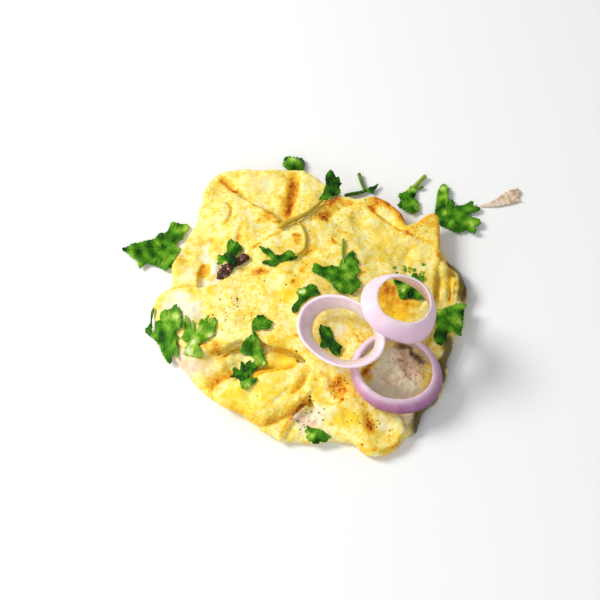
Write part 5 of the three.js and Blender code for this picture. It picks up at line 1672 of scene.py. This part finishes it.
def ring_piece(
    node, middle, lean, radii, walls, height, narrow, spin, foot_tilt, top_tilt, purple, seed
):
    """The section is a square with very round corners: its sides are sin and cos, each to the
    power of 0.7 with its sign kept. It lies between the inner and the outer radius."""
    turn = np.linspace(0, 2 * np.pi, RING_AROUND, endpoint=False)[:, None]
    phase = np.linspace(0, 2 * np.pi, RING_ACROSS, endpoint=False)[None]
    out, up = (np.sign(wave) * np.abs(wave) ** 0.7 for wave in (np.cos(phase), np.sin(phase)))
    circle = np.concatenate([np.cos(turn), np.sin(turn)], axis=1) * RING_REACH
    wobble = ripples(circle, 26, seed)[:, None]
    t = (up + 1) / 2 + 0 * turn
    outer = mixed(radii, t) + BULGE * 4 * t * (1 - t) + 0.2 * wobble
    radius = outer - mixed(walls, t) * (1 - out) / 2
    u, v = radius * np.cos(turn), radius * np.sin(turn) * narrow
    turned = math.radians(spin)
    x = u * math.cos(turned) - v * math.sin(turned)
    y = u * math.sin(turned) + v * math.cos(turned)
    x, y = x + lean[0] * t, y + lean[1] * t
    slopes = [np.tan(np.radians(mixed((foot, top), t))) for foot, top in zip(foot_tilt, top_tilt)]
    z = t * height - x * slopes[0] + y * slopes[1] + 0.1 * ripples(circle, 9, seed + 20)[:, None] * up
    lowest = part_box(node)[0][2] / MM  # a ring lies as low as its solid
    grid = np.stack([x + middle[0], y + middle[1], z - z.min() + lowest], axis=-1)
    faces = grid_faces(RING_AROUND, RING_ACROSS, round_rows=True, round_columns=True)[:, ::-1]
    made = make_mesh(node.replace("onion_ring", "ring"), grid.reshape(-1, 3), faces.tolist())
    kept = dict(
        round_x=circle[:, :1],
        round_y=circle[:, 1:],
        band_z=t * height,
        skin=np.clip((out - 0.55 + 0.5 * (1 - t)) / 0.5, 0, 1),
        lining=np.clip((-out - 0.1) / 0.7, 0, 1),
        low=1 - t,
        # Painted shade: the purple deepens towards the lower right, the side turned from the light.
        purple=purple * (0.85 + 0.35 * np.cos(turn + math.radians(60))),  # most at the lower right
    )
    for key, values in kept.items():
        put_attribute(made, key, np.broadcast_to(values, t.shape).ravel())
    heights.add(grid.reshape(-1, 3))
    return made

# %% The finish of the onion
def onion_finish():
    look = Finish("onion_layer")
    upwards = look.kept("band_z") * 0.1
    vector = look.node("CombineXYZ", {0: look.kept("round_x"), 1: look.kept("round_y"), 2: upwards})
    fibre = look.node("TexNoise", {"Vector": vector, "Scale": 0.9, "Detail": 3, "Roughness": 0.65})
    fine = look.node("TexNoise", {"Vector": vector, "Scale": 2.6, "Detail": 2})
    broad = look.node("TexNoise", {"Vector": vector, "Scale": 0.16, "Detail": 1})
    cloud = look.noise(4, detail=2)
    streaks = (fibre - 0.5) * 0.9 + (fine - 0.5) * 0.4 + (broad - 0.5) * 0.6
    depth = look.kept("purple") * (look.kept("low") * 0.7 + 0.75)
    skin = depth + streaks * 0.4 * (look.kept("purple") + 0.25)
    flesh = look.mix(cloud.between(0.35, 0.65), "f4e2e8", "ecd6e0")
    flesh = look.mix(look.kept("purple") * 0.5, flesh, "cf9ec0")
    # Painted shade: the foot of the lining, down in the hole, goes beige grey.
    foot = (look.kept("lining") * look.kept("low")).between(0.35, 1.0, 0, 0.8)
    lined = look.mix(foot, flesh, "cbb99f")
    purple = look.ramp(
        skin, {0.0: "f3e0e4", 0.2: "eecfe2", 0.45: "d8a2c4", 0.75: "b676a2", 1.0: "84507a"}
    )
    colour = look.mix(look.kept("skin"), lined, purple)
    return look.shader(
        Base_Color=colour,
        Roughness=fibre.between(0.3, 0.7, 0.22, 0.4),
        Normal=look.bump(fibre * 0.5 + fine * 0.3, 0.14, 0.5),
        IOR=1.38,
        Specular_IOR_Level=0.3,
        Subsurface_Weight=0.4,
        Subsurface_Radius=(1.0, 0.8, 0.85),
        Subsurface_Scale=2.5 * MM,
    )


onion_look = onion_finish()
for node, ring in RINGS.items():
    dress(ring_piece(node, **ring), onion_look, node, slot="onion")

# %% [markdown]
# ## Table and light
#
# A plain pale table and soft light from the upper left, as beside a window, with a weaker light
# from the front so that the near side isn't dark.

# %% Table
HALF_TABLE = 3000  # millimetres
corners = [(x * HALF_TABLE, y * HALF_TABLE, 0) for x, y in ((-1, -1), (1, -1), (1, 1), (-1, 1))]
table = make_mesh("table", corners, [(0, 1, 2, 3)])
table.data.materials.append(Finish("pale_table").shader(Base_Color="fafaf9", Roughness=0.7))

# %% Light
def area_light(name, place, size, power, colour):
    """A square light at `place`, in millimetres, turned towards the origin."""
    data = bpy.data.lights.new(name, "AREA")
    data.size, data.energy, data.color = size * MM, power, colour
    lamp = add_to_scene(name, data)
    lamp.location = Vector(place) * MM
    lamp.rotation_euler = (-Vector(place)).to_track_quat("-Z", "Y").to_euler()
    print(name, "from", place)


area_light("window", (-1120, 380, 1050), 560, 21.2, (1.0, 0.98, 0.94))
area_light("front_fill", (-420, -760, 640), 600, 3.0, (0.97, 0.98, 1.0))
world = bpy.data.worlds.new("room")
world.use_nodes = True
background = world.node_tree.nodes["Background"]
background.inputs["Color"].default_value = (0.93, 0.96, 1.0, 1)
background.inputs["Strength"].default_value = 0.4
bpy.context.scene.world = world
bpy.context.scene.view_settings.view_transform = "Standard"
